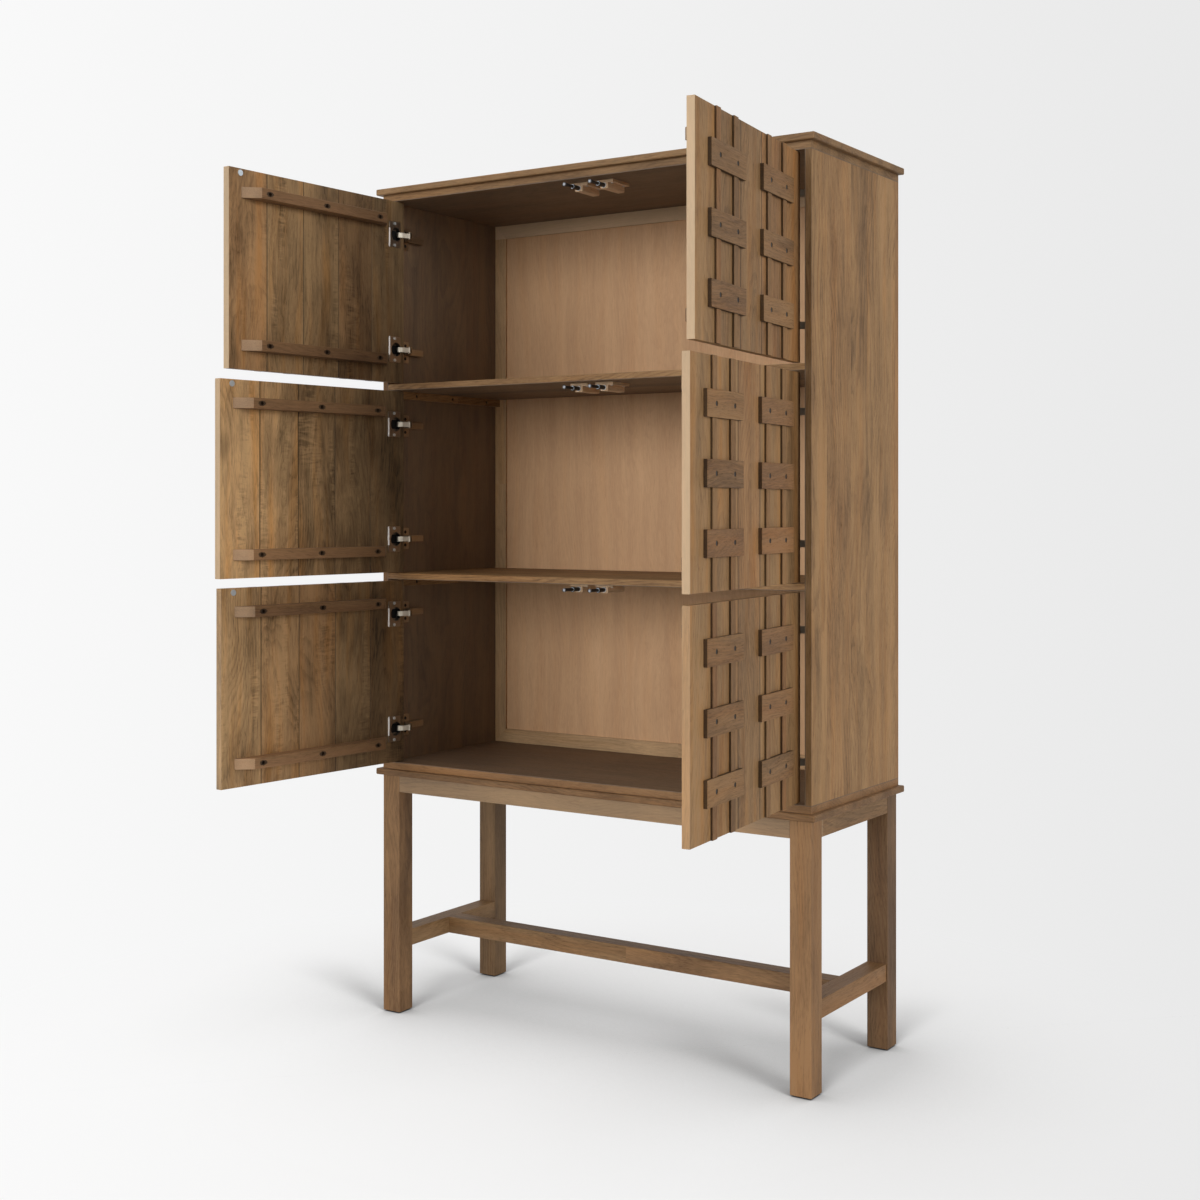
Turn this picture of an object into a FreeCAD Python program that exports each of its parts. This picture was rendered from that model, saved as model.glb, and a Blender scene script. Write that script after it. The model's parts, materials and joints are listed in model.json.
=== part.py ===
import FreeCAD, Part
import math
import os

# Tall cabinet on a stand, with six lattice-faced doors set into its case and two fixed shelves.
# Millimetres. X runs to the right, Y into the cabinet, Z up.
# The cabinet is built with Y zero at the front plane of the case and Z zero at the floor,
# and moved at the end so that the origin is under the middle of the cabinet's box with its doors open.
# A door is drawn closed, from its hinge end along X and from its outer face along Y, and then swung open.

# Whole cabinet
cabinet_height = 2000.0
cabinet_width = 1180.0
cabinet_depth = 464.0
stand_height = 577.0

# Boards of the case
slab_thickness = 15.0
slab_edge_radius = 3.0
slab_overhang_front = 13.0
slab_overhang_side = 13.0
slab_overhang_back = 5.0
case_board_thickness = 17.0
side_thickness = 15.0
shelf_thickness = 15.0
board_edge_radius = 1.0
panel_tongue_thickness = 7.0
panel_tongue_height = 6.0
panel_tongue_stop = 15.0

# Back frame and panel
back_frame_thickness = 12.0
back_frame_width = 34.0
back_panel_thickness = 6.0
back_panel_lap = 10.0

# Shelf cleats
shelf_cleat_thickness = 15.0
shelf_cleat_height = 18.0
shelf_cleat_setback = 34.0
shelf_cleat_screw_pitch = 142.0

# Stand
leg_size = 50.0
leg_back_inset = 11.0
leg_edge_radius = 1.5
apron_height = 40.0
apron_thickness = 22.0
stretcher_top = 196.4
stretcher_height = 40.0
stretcher_width = 46.6
stretcher_inset = 3.0
centre_rail_front = 193.7
centre_rail_width = 45.2
rail_edge_radius = 1.0
tenon_thickness = 10.0
tenon_length = 22.0
tenon_shoulder = 8.0
stretcher_tenon_thickness = 18.0
glide_radius = 15.0
glide_thickness = 3.0
glide_spike_radius = 1.5
glide_spike_length = 12.0

# Doors
door_thickness = 16.0
door_side_gap = 3.0
door_centre_gap = 3.0
door_height_gap = 2.8
door_board_count = 5
board_joint_chamfer = 0.8
board_tongue_thickness = 5.0
board_tongue_length = 6.0
board_tongue_clearance = 0.2

# Swing of each door as it is stored
door_open_angles = {
    ("upper", "left"): 92.5,
    ("middle", "left"): 95.5,
    ("lower", "left"): 95.0,
    ("upper", "right"): 97.0,
    ("middle", "right"): 96.0,
    ("lower", "right"): 96.0,
}
hinge_axis_in = 19.2
hinge_axis_back = 1.4

# Lattice on the outside of a door
batten_width = 21.0
batten_thickness = 5.0
batten_pitch = 87.0
lattice_column_offset = 133.0
lattice_block_width = 172.0
lattice_block_height = 52.0
lattice_block_thickness = 8.5
lattice_block_pitch = 129.0
lattice_edge_radius = 0.8
notch_clearance = 0.1
nail_head_radius = 5.0
nail_head_thickness = 0.9
nail_recess_radius = 5.2
nail_recess_depth = 1.5
nail_shank_radius = 1.2
nail_bite = 8.0

# Cleats on the inside of a door
door_cleat_height = 24.0
door_cleat_depth = 32.0
door_cleat_bevel = 33.0
door_cleat_centre = 52.0
door_cleat_free_gap = 34.5
door_cleat_hinge_gap = 59.0
door_cleat_screw_pitch = 175.0

# Dark wood screws, set in counterbores
wood_screw_head_radius = 4.0
wood_screw_head_height = 2.6
wood_screw_shank_radius = 2.0
wood_screw_bite = 10.0
wood_screw_pocket_radius = 4.5
door_cleat_pocket_depth = 9.0
shelf_cleat_pocket_depth = 5.0

# Concealed hinges, two on each door
hinge_from_door_edge = 80.0
cup_centre = 27.5
cup_radius = 17.5
cup_wall = 0.9
cup_depth = 11.5
flange_start = 12.0
flange_end = 53.0
flange_height = 62.0
flange_thickness = 1.2
flange_corner_radius = 4.0
flange_lip_width = 3.5
flange_lip_height = 1.2
cup_screw_offset = 5.5
cup_screw_pitch = 52.0
cup_screw_head_radius = 3.6
cup_screw_head_height = 1.5
cup_screw_shank_radius = 1.7
cup_screw_length = 11.0
plate_centre = 62.0
plate_width = 27.0
plate_height = 52.0
plate_thickness = 2.0
plate_corner_radius = 3.0
plate_screw_pitch = 32.0
plate_screw_head_radius = 3.8
plate_screw_head_height = 1.6
plate_screw_shank_radius = 1.8
plate_screw_length = 12.0
arm_height = 15.0
arm_thickness = 6.5
arm_base_thickness = 6.0
arm_base_front = 44.0
arm_base_back = 112.0
arm_back = 116.0
arm_bend_back = 58.0
arm_neck_back = 31.0
link_pin_in = 46.0
link_pin_back = 24.0
link_pin_radius = 1.4
link_pin_clearance = 0.3
link_eye_radius = 3.2
arm_cheek_thickness = 1.3
link_side_clearance = 0.4
link_thickness = 4.8
link_elbow_in = 39.9
link_elbow_back = 5.3
link_knee_in = 35.35
link_knee_back = -1.45
link_tip_in = 31.1
link_tip_back = -0.1
link_drawn_angle = 95.5
link_turn_share = 0.39

# Push latches under the case top and both shelves
latch_axis_side = 34.5
latch_axis_drop = 12.5
latch_body_radius = 5.0
latch_body_front = 21.2
latch_body_back = 110.0
latch_collar_radius = 5.9
latch_collar_length = 2.5
latch_bore_radius = 3.9
latch_bore_end_wall = 4.0
latch_fit = 0.1
plunger_radius = 3.6
plunger_length = 71.0
plunger_tip_radius = 4.4
plunger_tip_length = 3.0
plunger_contact_gap = 0.3
plunger_travel = 29.8
latch_block_front = 48.0
latch_block_length = 70.0
latch_block_width = 47.0
latch_flange_thickness = 6.5
latch_ridge_width = 20.0
latch_ridge_depth = 20.0
latch_ridge_radius = 3.0
latch_screw_side = 14.5
latch_screw_pitch = 48.0
latch_screw_head_radius = 3.0
latch_screw_head_height = 1.6
latch_screw_shank_radius = 1.5
latch_screw_length = 14.0
strike_radius = 6.8
strike_thickness = 1.5
strike_spike_radius = 1.5
strike_spike_length = 8.0

# Clearance of a hole round its fastener, and how far a cutting shape runs past a face
hole_clearance = 0.1
overrun = 1.0

# Derived levels and half widths
case_half = cabinet_width / 2 - slab_overhang_side
inner_half = case_half - side_thickness
case_depth = cabinet_depth - slab_overhang_front - slab_overhang_back
slab_front = -slab_overhang_front
slab_back = slab_front + cabinet_depth
case_bottom_level = stand_height + slab_thickness
floor_level = case_bottom_level + case_board_thickness
case_top_level = cabinet_height - slab_thickness
ceiling_level = case_top_level - case_board_thickness
cavity_height = (ceiling_level - floor_level - 2 * shelf_thickness) / 3
back_frame_front = case_depth - back_frame_thickness
shelf_levels = {
    "lower": floor_level + cavity_height,
    "upper": floor_level + 2 * cavity_height + shelf_thickness,
}
cavity_floors = {
    "lower": floor_level,
    "middle": shelf_levels["lower"] + shelf_thickness,
    "upper": shelf_levels["upper"] + shelf_thickness,
}
tiers = ("upper", "middle", "lower")
sides = ("left", "right")

door_width = inner_half - door_side_gap - door_centre_gap / 2
door_height = cavity_height - 2 * door_height_gap
door_board_width = door_width / door_board_count
batten_offsets = (-batten_pitch / 2, batten_pitch / 2)
column_centres = (door_width / 2 - lattice_column_offset, door_width / 2 + lattice_column_offset)
row_centres = [door_height / 2 + step * lattice_block_pitch for step in (-1, 0, 1)]
hinge_heights = (hinge_from_door_edge, door_height - hinge_from_door_edge)
door_cleat_heights = (door_cleat_centre, door_height - door_cleat_centre)
strike_place = door_width + door_centre_gap / 2 - latch_axis_side
strike_height = door_height + door_height_gap - latch_axis_drop
plunger_tip_front = door_thickness + strike_thickness + plunger_contact_gap - plunger_travel
leg_outer = case_half
leg_inner = leg_outer - leg_size
leg_back = slab_back - slab_overhang_back - leg_back_inset
leg_rows = (0.0, leg_back - leg_size)


def vector(x, y, z):
    return FreeCAD.Vector(x, y, z)


def box(x_low, x_high, y_low, y_high, z_low, z_high):
    """A box between two corners."""
    return Part.makeBox(x_high - x_low, y_high - y_low, z_high - z_low, vector(x_low, y_low, z_low))


def soft_box(radius, x_low, x_high, y_low, y_high, z_low, z_high):
    """A box with every edge rounded, by no more than its thinnest side can carry."""
    body = box(x_low, x_high, y_low, y_high, z_low, z_high)
    thinnest = min(x_high - x_low, y_high - y_low, z_high - z_low)
    return body.makeFillet(min(radius, thinnest / 3), body.Edges)


def rod_along(direction, radius, start, length):
    """A round bar from a start point along a direction."""
    return Part.makeCylinder(radius, length, start, direction)


def prism(points, z_low, z_high):
    """An outline in plan, raised from one level to another."""
    corners = [vector(x, y, z_low) for x, y in points]
    face = Part.Face(Part.makePolygon(corners + corners[:1]))
    return face.extrude(vector(0, 0, z_high - z_low))


def cut_all(body, tools):
    """The body less every tool."""
    if not tools:
        return body
    return body.cut(Part.makeCompound(tools)) if len(tools) > 1 else body.cut(tools[0])


def mirrored(shape):
    """The same shape on the other side of the cabinet."""
    return shape.mirror(vector(0, 0, 0), vector(1, 0, 0))


def both_sides(shape):
    return [shape, mirrored(shape)]


def moved(shape, x, y, z):
    copy = shape.copy()
    copy.translate(vector(x, y, z))
    return copy


def screw(head_radius, head_height, shank_radius, length, seat, direction):
    """A screw whose head stands on its seat and whose shank runs along the direction."""
    back = vector(-direction.x, -direction.y, -direction.z)
    head = rod_along(back, head_radius, seat, head_height)
    shank = rod_along(direction, shank_radius, seat, length)
    return head.fuse(shank).removeSplitter()


def bore(radius, seat, direction, length):
    """A cutter for a hole from its seat along a direction, a little wider than what goes in."""
    return rod_along(direction, radius + hole_clearance, seat, length + hole_clearance)


# Directions, and the doors, which are drawn closed in their own frame

into_door = vector(0, 1, 0)
out_of_door = vector(0, -1, 0)
upward = vector(0, 0, 1)


def nail_places():
    """The middle of every nail: where a block of the lattice crosses a batten."""
    places = []
    for column in column_centres:
        for offset in batten_offsets:
            for row in row_centres:
                places.append((column + offset, row))
    return places


def cleat_screw_places():
    """The screws of both cleats, spaced about the middle of the cleat."""
    middle = (door_cleat_hinge_gap + door_width - door_cleat_free_gap) / 2
    return [(middle + step * door_cleat_screw_pitch, height)
            for height in door_cleat_heights for step in (-1, 0, 1)]


def nail_seat():
    return -lattice_block_thickness + nail_recess_depth


def cleat_screw_seat():
    return door_thickness + door_cleat_depth - door_cleat_pocket_depth


def cleat_screw_length():
    return door_cleat_depth - door_cleat_pocket_depth + wood_screw_bite


def door_board_outline(index):
    """Plan outline of one board: tongue towards the hinges, groove, and a small V at each joint."""
    start = index * door_board_width
    end = start + door_board_width
    tongue_low = (door_thickness - board_tongue_thickness) / 2
    tongue_high = tongue_low + board_tongue_thickness
    chamfer = board_joint_chamfer
    if index == 0:
        points = [(start, 0), (start, door_thickness)]
    else:
        tip = start - board_tongue_length + board_tongue_clearance
        points = [
            (start + chamfer, 0),
            (start, chamfer),
            (start, tongue_low),
            (tip, tongue_low),
            (tip, tongue_high),
            (start, tongue_high),
            (start, door_thickness - chamfer),
            (start + chamfer, door_thickness),
        ]
    if index == door_board_count - 1:
        points += [(end, door_thickness), (end, 0)]
    else:
        points += [
            (end - chamfer, door_thickness),
            (end, door_thickness - chamfer),
            (end, tongue_high),
            (end - board_tongue_length, tongue_high),
            (end - board_tongue_length, tongue_low),
            (end, tongue_low),
            (end, chamfer),
            (end - chamfer, 0),
        ]
    return points


def door_boards():
    """The tongued and grooved boards, bored for the hinge cups, nails, screws and strike."""
    cutters = []
    cup_screw_bite = cup_screw_length - flange_thickness
    for height in hinge_heights:
        cup_seat = vector(cup_centre, door_thickness, height)
        cutters.append(bore(cup_radius, cup_seat, out_of_door, cup_depth))
        for step in (-1, 1):
            place = height + step * cup_screw_pitch / 2
            seat = vector(cup_centre + cup_screw_offset, door_thickness, place)
            cutters.append(bore(cup_screw_shank_radius, seat, out_of_door, cup_screw_bite))
    for x, z in nail_places():
        cutters.append(bore(nail_shank_radius, vector(x, 0, z), into_door, nail_bite))
    for x, z in cleat_screw_places():
        seat = vector(x, door_thickness, z)
        cutters.append(bore(wood_screw_shank_radius, seat, out_of_door, wood_screw_bite))
    strike_seat = vector(strike_place, door_thickness, strike_height)
    cutters.append(bore(strike_spike_radius, strike_seat, out_of_door, strike_spike_length))
    boards = []
    for index in range(door_board_count):
        board = prism(door_board_outline(index), 0, door_height)
        reach = (index * door_board_width - board_tongue_length, (index + 1) * door_board_width)
        near = [c for c in cutters if c.BoundBox.XMax > reach[0] and c.BoundBox.XMin < reach[1]]
        boards.append(cut_all(board, near))
    return boards


def door_battens():
    """The thin upright battens, two to a column."""
    shank_holes = [
        bore(nail_shank_radius, vector(x, -batten_thickness, z), into_door, batten_thickness)
        for x, z in nail_places()
    ]
    battens = []
    for column in column_centres:
        for offset in batten_offsets:
            low = column + offset - batten_width / 2
            high = low + batten_width
            strip = soft_box(lattice_edge_radius, low, high, -batten_thickness, 0, 0, door_height)
            battens.append(cut_all(strip, [h for h in shank_holes if low < h.BoundBox.Center.x < high]))
    return battens


def lattice_block(column, row):
    """One block of the lattice, notched over its two battens and recessed for its two nails."""
    low = column - lattice_block_width / 2
    bottom = row - lattice_block_height / 2
    body = soft_box(lattice_edge_radius, low, low + lattice_block_width,
                    -lattice_block_thickness, 0, bottom, bottom + lattice_block_height)
    cutters = []
    for offset in batten_offsets:
        centre = column + offset
        half = batten_width / 2 + notch_clearance
        cutters.append(box(centre - half, centre + half, -batten_thickness, overrun,
                           bottom - overrun, bottom + lattice_block_height + overrun))
        seat = vector(centre, nail_seat(), row)
        cutters.append(rod_along(out_of_door, nail_recess_radius, seat, nail_recess_depth + overrun))
        cutters.append(bore(nail_shank_radius, seat, into_door, lattice_block_thickness))
    return body.cut(Part.makeCompound(cutters[0::3])).cut(Part.makeCompound(cutters[1::3] + cutters[2::3]))


def door_lattice():
    blocks = [lattice_block(column, row) for column in column_centres for row in row_centres]
    return door_battens() + blocks


def door_cleat(height):
    """A bar along the inside of the door, with sloping ends and three deep screw pockets."""
    start = door_cleat_hinge_gap
    end = door_width - door_cleat_free_gap
    foot = door_thickness
    top = door_thickness + door_cleat_depth
    outline = [(start, foot), (start + door_cleat_bevel, top), (end - door_cleat_bevel, top), (end, foot)]
    body = prism(outline, height - door_cleat_height / 2, height + door_cleat_height / 2)
    body = body.makeFillet(board_edge_radius, body.Edges)
    pockets = []
    holes = []
    pocket_length = door_cleat_pocket_depth + overrun
    for x, z in cleat_screw_places():
        if z == height:
            seat = vector(x, cleat_screw_seat(), z)
            pockets.append(rod_along(into_door, wood_screw_pocket_radius, seat, pocket_length))
            holes.append(bore(wood_screw_shank_radius, seat, out_of_door, door_cleat_depth))
    return body.cut(Part.makeCompound(pockets)).cut(Part.makeCompound(holes))


def door_cleats():
    return [door_cleat(height) for height in door_cleat_heights]


def nail(x, z):
    """A flat-headed nail, sunk a little below the face of its block."""
    length = lattice_block_thickness - nail_recess_depth + nail_bite
    return screw(nail_head_radius, nail_head_thickness, nail_shank_radius, length,
                 vector(x, nail_seat(), z), into_door)


def cleat_screw(x, z):
    return screw(wood_screw_head_radius, wood_screw_head_height, wood_screw_shank_radius,
                 cleat_screw_length(), vector(x, cleat_screw_seat(), z), out_of_door)


def door_fasteners():
    nails = [nail(x, z) for x, z in nail_places()]
    screws = [cleat_screw(x, z) for x, z in cleat_screw_places()]
    return nails + screws


def hinge_cup(height):
    """The cup let into the door and the flange that is screwed to its inner face."""
    seat = vector(cup_centre, door_thickness, height)
    flange_top = door_thickness + flange_thickness
    low = height - flange_height / 2
    high = height + flange_height / 2
    flange = box(flange_start, flange_end, door_thickness, flange_top, low, high)
    corners = [edge for edge in flange.Edges if abs(edge.Length - flange_thickness) < hole_clearance]
    flange = flange.makeFillet(flange_corner_radius, corners)
    lip_reach = flange_height / 2 - flange_corner_radius
    lip = soft_box(flange_lip_height / 2, flange_end - flange_lip_width, flange_end,
                   door_thickness, flange_top + flange_lip_height, height - lip_reach, height + lip_reach)
    cup = rod_along(out_of_door, cup_radius, seat, cup_depth)
    body = flange.fuse([lip, cup])
    above = flange_top + overrun
    hollow_depth = overrun + flange_thickness + cup_depth - cup_wall
    cutters = [rod_along(out_of_door, cup_radius - cup_wall, vector(cup_centre, above, height), hollow_depth)]
    for step in (-1, 1):
        place = vector(cup_centre + cup_screw_offset, above, height + step * cup_screw_pitch / 2)
        cutters.append(bore(cup_screw_shank_radius, place, out_of_door, flange_thickness + 2 * overrun))
    return cut_all(body, cutters)


def cup_screw(height):
    seat = vector(cup_centre + cup_screw_offset, door_thickness + flange_thickness, height)
    return screw(cup_screw_head_radius, cup_screw_head_height, cup_screw_shank_radius,
                 cup_screw_length, seat, out_of_door)


def strike_disc():
    """The steel disc that the latch holds, near the free top corner of the door."""
    seat = vector(strike_place, door_thickness, strike_height)
    disc = rod_along(into_door, strike_radius, seat, strike_thickness)
    spike = rod_along(out_of_door, strike_spike_radius, seat, strike_spike_length)
    return disc.fuse(spike).removeSplitter()


def door_hardware():
    pieces = [hinge_cup(height) for height in hinge_heights]
    for height in hinge_heights:
        for step in (-1, 1):
            pieces.append(cup_screw(height + step * cup_screw_pitch / 2))
    pieces.append(strike_disc())
    return pieces


# Hinge parts that stay on the case, drawn for the left side at level zero.
# Distances in are measured from the inner face of the side, and distances back from the front plane.

def at_hinge(distance_in, distance_back, z):
    return vector(-inner_half + distance_in, distance_back, z)


def mounting_plate():
    """The cross-shaped plate on the side: its wings, and the base that carries the arm."""
    face = -inner_half
    front = plate_centre - plate_width / 2
    half_height = plate_height / 2
    wings = box(face, face + plate_thickness, front, front + plate_width, -half_height, half_height)
    corners = [edge for edge in wings.Edges if abs(edge.Length - plate_thickness) < hole_clearance]
    wings = wings.makeFillet(plate_corner_radius, corners)
    base = box(face, face + plate_thickness + arm_base_thickness, arm_base_front, arm_base_back,
               -arm_height / 2, arm_height / 2)
    holes = [
        bore(plate_screw_shank_radius, at_hinge(-overrun, plate_centre, step * plate_screw_pitch / 2),
             vector(1, 0, 0), plate_thickness + 2 * overrun)
        for step in (-1, 1)
    ]
    return cut_all(wings.fuse(base), holes)


def hinge_arm():
    """The cranked arm from the plate forward to the link pin, forked round the link's eye."""
    face = -inner_half
    foot = face + plate_thickness + arm_base_thickness
    back = foot + arm_thickness
    pin_x = face + link_pin_in
    fork_radius = link_eye_radius + link_pin_clearance
    outline = [
        (foot, arm_back),
        (back, arm_back),
        (back, arm_bend_back),
        (pin_x + fork_radius, arm_neck_back),
        (pin_x + fork_radius, link_pin_back),
        (pin_x - fork_radius, link_pin_back),
        (foot, arm_bend_back - arm_thickness),
    ]
    half = arm_height / 2
    slot_half = half - arm_cheek_thickness
    slot_radius = fork_radius + link_thickness / 2
    low_end = at_hinge(link_pin_in, link_pin_back, -half)
    slot_end = at_hinge(link_pin_in, link_pin_back, -slot_half)
    body = prism(outline, -half, half)
    nose = rod_along(upward, fork_radius, low_end, arm_height)
    slot = rod_along(upward, slot_radius, slot_end, 2 * slot_half)
    pin = rod_along(upward, link_pin_radius, low_end, arm_height)
    return body.fuse(nose).cut(slot).fuse(pin)


def hinge_link():
    """The bent link from the arm's pin into the cup, drawn at the hinge's drawing angle."""
    half = arm_height / 2 - arm_cheek_thickness - link_side_clearance
    path = [
        at_hinge(link_pin_in, link_pin_back, -half),
        at_hinge(link_elbow_in, link_elbow_back, -half),
        at_hinge(link_knee_in, link_knee_back, -half),
        at_hinge(link_tip_in, link_tip_back, -half),
    ]
    body = rod_along(upward, link_eye_radius, path[0], 2 * half)
    for start, end in zip(path, path[1:]):
        run = end - start
        across = upward.cross(run).normalize() * (link_thickness / 2)
        corners = [start + across, end + across, end - across, start - across]
        strip = Part.Face(Part.makePolygon(corners + corners[:1])).extrude(upward * (2 * half))
        body = body.fuse([strip, rod_along(upward, link_thickness / 2, end, 2 * half)])
    eye = rod_along(upward, link_pin_radius + link_pin_clearance, path[0], 2 * half)
    return body.cut(eye).removeSplitter()


def plate_screws():
    seats = [at_hinge(plate_thickness, plate_centre, step * plate_screw_pitch / 2) for step in (-1, 1)]
    return [
        screw(plate_screw_head_radius, plate_screw_head_height, plate_screw_shank_radius,
              plate_screw_length, seat, vector(-1, 0, 0))
        for seat in seats
    ]


# Latches, drawn at X zero with their axis along Y and the board they hang from at level zero

def latch_block():
    """The wooden holder: a flange against the board above and a deeper ridge round the latch."""
    front = latch_block_front
    back = front + latch_block_length
    flange_half = latch_block_width / 2
    ridge_half = latch_ridge_width / 2
    flange = box(-flange_half, flange_half, front, back, -latch_flange_thickness, 0)
    ridge = box(-ridge_half, ridge_half, front, back, -latch_ridge_depth, 0)
    low_edges = [edge for edge in ridge.Edges
                 if edge.BoundBox.ZMax < -latch_flange_thickness and edge.BoundBox.YLength > overrun]
    ridge = ridge.makeFillet(latch_ridge_radius, low_edges)
    hole = rod_along(into_door, latch_body_radius + latch_fit,
                     vector(0, latch_block_front - overrun, -latch_axis_drop),
                     latch_body_back - latch_block_front + overrun + latch_fit)
    cutters = [hole]
    for x, y in latch_screw_places():
        seat = vector(x, y, -latch_flange_thickness - overrun)
        cutters.append(bore(latch_screw_shank_radius, seat, upward, latch_flange_thickness + 2 * overrun))
    return cut_all(flange.fuse(ridge), cutters)


def latch_screw_places():
    middle = latch_block_front + latch_block_length / 2
    return [(side * latch_screw_side, middle + step * latch_screw_pitch / 2)
            for side in (-1, 1) for step in (-1, 1)]


def latch_screws():
    return [
        screw(latch_screw_head_radius, latch_screw_head_height, latch_screw_shank_radius,
              latch_screw_length, vector(x, y, -latch_flange_thickness), upward)
        for x, y in latch_screw_places()
    ]


def latch_body():
    """The latch's tube, with a collar at its mouth and one seated on the holder."""
    start = vector(0, latch_body_front, -latch_axis_drop)
    tube = rod_along(into_door, latch_body_radius, start, latch_body_back - latch_body_front)
    mouth = rod_along(into_door, latch_collar_radius, start, latch_collar_length)
    seat_start = vector(0, latch_block_front - latch_collar_length, -latch_axis_drop)
    seat = rod_along(into_door, latch_collar_radius, seat_start, latch_collar_length)
    bore_start = vector(0, latch_body_front - overrun, -latch_axis_drop)
    bore_length = latch_body_back - latch_body_front + overrun - latch_bore_end_wall
    hollow = rod_along(into_door, latch_bore_radius, bore_start, bore_length)
    return tube.fuse([mouth, seat]).cut(hollow)


def latch_plunger():
    """The plunger run out as with the door open: a steel tip on a sliding rod."""
    tip_start = vector(0, plunger_tip_front, -latch_axis_drop)
    rod_start = vector(0, plunger_tip_front + plunger_tip_length, -latch_axis_drop)
    tip = rod_along(into_door, plunger_tip_radius, tip_start, plunger_tip_length)
    rod = rod_along(into_door, plunger_radius, rod_start, plunger_length)
    return [tip, rod]


# Case and stand

def slab(z_low):
    """The top or bottom board of the cabinet, standing out past the case all round."""
    return soft_box(slab_edge_radius, -cabinet_width / 2, cabinet_width / 2, slab_front, slab_back,
                    z_low, z_low + slab_thickness)


def side_tongue(z_low, z_high):
    """The tongue of the left side panel in a case board."""
    middle = -inner_half - side_thickness / 2
    half = panel_tongue_thickness / 2
    return box(middle - half, middle + half, panel_tongue_stop, case_depth, z_low, z_high)


def case_board(z_low, groove_low, groove_high):
    board = box(-case_half, case_half, 0, case_depth, z_low, z_low + case_board_thickness)
    return cut_all(board, both_sides(side_tongue(groove_low, groove_high)))


def side_panel():
    """The left side, tongued into the boards above and below it and bored for what is screwed to it."""
    panel = box(-case_half, -inner_half, 0, case_depth, floor_level, ceiling_level)
    low = side_tongue(floor_level - panel_tongue_height, floor_level)
    high = side_tongue(ceiling_level, ceiling_level + panel_tongue_height)
    panel = panel.fuse([low, high]).removeSplitter()
    inward = vector(-1, 0, 0)
    plate_screw_bite = plate_screw_length - plate_thickness
    cutters = []
    for tier in tiers:
        for height in hinge_levels(tier):
            for step in (-1, 1):
                place = at_hinge(0, plate_centre, height + step * plate_screw_pitch / 2)
                cutters.append(bore(plate_screw_shank_radius, place, inward, plate_screw_bite))
    for y, z in shelf_cleat_screw_places():
        cutters.append(bore(wood_screw_shank_radius, vector(-inner_half, y, z), inward, wood_screw_bite))
    return cut_all(panel, cutters)


def hinge_levels(tier):
    return [cavity_floors[tier] + door_height_gap + height for height in hinge_heights]


def board_above(tier):
    """The level of the underside that a tier's latches hang from."""
    return cavity_floors[tier] + cavity_height


def hang_latches(make):
    """One copy of a latch piece for each door."""
    return [
        moved(make(), sign * latch_axis_side, 0, board_above(tier))
        for tier in tiers for sign in (-1, 1)
    ]


def bore_for_latches(board, level):
    """A board with the pilot holes of the latch screws in its underside."""
    cutters = []
    for sign in (-1, 1):
        for x, y in latch_screw_places():
            seat = vector(sign * latch_axis_side + x, y, level)
            cutters.append(bore(latch_screw_shank_radius, seat, upward,
                                latch_screw_length - latch_flange_thickness))
    return cut_all(board, cutters)


def shelf(level):
    board = box(-inner_half, inner_half, 0, back_frame_front, level, level + shelf_thickness)
    front_edges = [edge for edge in board.Edges
                   if edge.BoundBox.YMax < overrun and edge.BoundBox.XLength > inner_half]
    board = board.makeFillet(board_edge_radius, front_edges)
    return bore_for_latches(board, level)


def shelf_cleat_screw_places():
    middle = (shelf_cleat_setback + back_frame_front) / 2
    return [(middle + step * shelf_cleat_screw_pitch, level - shelf_cleat_height / 2)
            for level in shelf_levels.values() for step in (-1, 0, 1)]


def shelf_cleat(level):
    """The left cleat under a shelf, with its screw pockets."""
    body = soft_box(board_edge_radius, -inner_half, -inner_half + shelf_cleat_thickness,
                    shelf_cleat_setback, back_frame_front, level - shelf_cleat_height, level)
    seat_x = -inner_half + shelf_cleat_thickness - shelf_cleat_pocket_depth
    pockets = []
    holes = []
    pocket_length = shelf_cleat_pocket_depth + overrun
    for y, z in shelf_cleat_screw_places():
        if level - shelf_cleat_height < z < level:
            seat = vector(seat_x, y, z)
            pockets.append(rod_along(vector(1, 0, 0), wood_screw_pocket_radius, seat, pocket_length))
            holes.append(bore(wood_screw_shank_radius, seat, vector(-1, 0, 0), shelf_cleat_thickness))
    return body.cut(Part.makeCompound(pockets)).cut(Part.makeCompound(holes))


def shelf_cleat_screws():
    seat_x = -inner_half + shelf_cleat_thickness - shelf_cleat_pocket_depth
    length = shelf_cleat_thickness - shelf_cleat_pocket_depth + wood_screw_bite
    return [
        screw(wood_screw_head_radius, wood_screw_head_height, wood_screw_shank_radius, length,
              vector(seat_x, y, z), vector(-1, 0, 0))
        for y, z in shelf_cleat_screw_places()
    ]


def back_panel_box():
    half = inner_half - back_frame_width + back_panel_lap
    low = floor_level + back_frame_width - back_panel_lap
    high = ceiling_level - back_frame_width + back_panel_lap
    return box(-half, half, case_depth - back_panel_thickness, case_depth, low, high)


def upright_prism(points):
    """An outline seen from the front, as thick as the back frame."""
    corners = [vector(x, back_frame_front, z) for x, z in points]
    face = Part.Face(Part.makePolygon(corners + corners[:1]))
    return face.extrude(vector(0, back_frame_thickness, 0))


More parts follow.
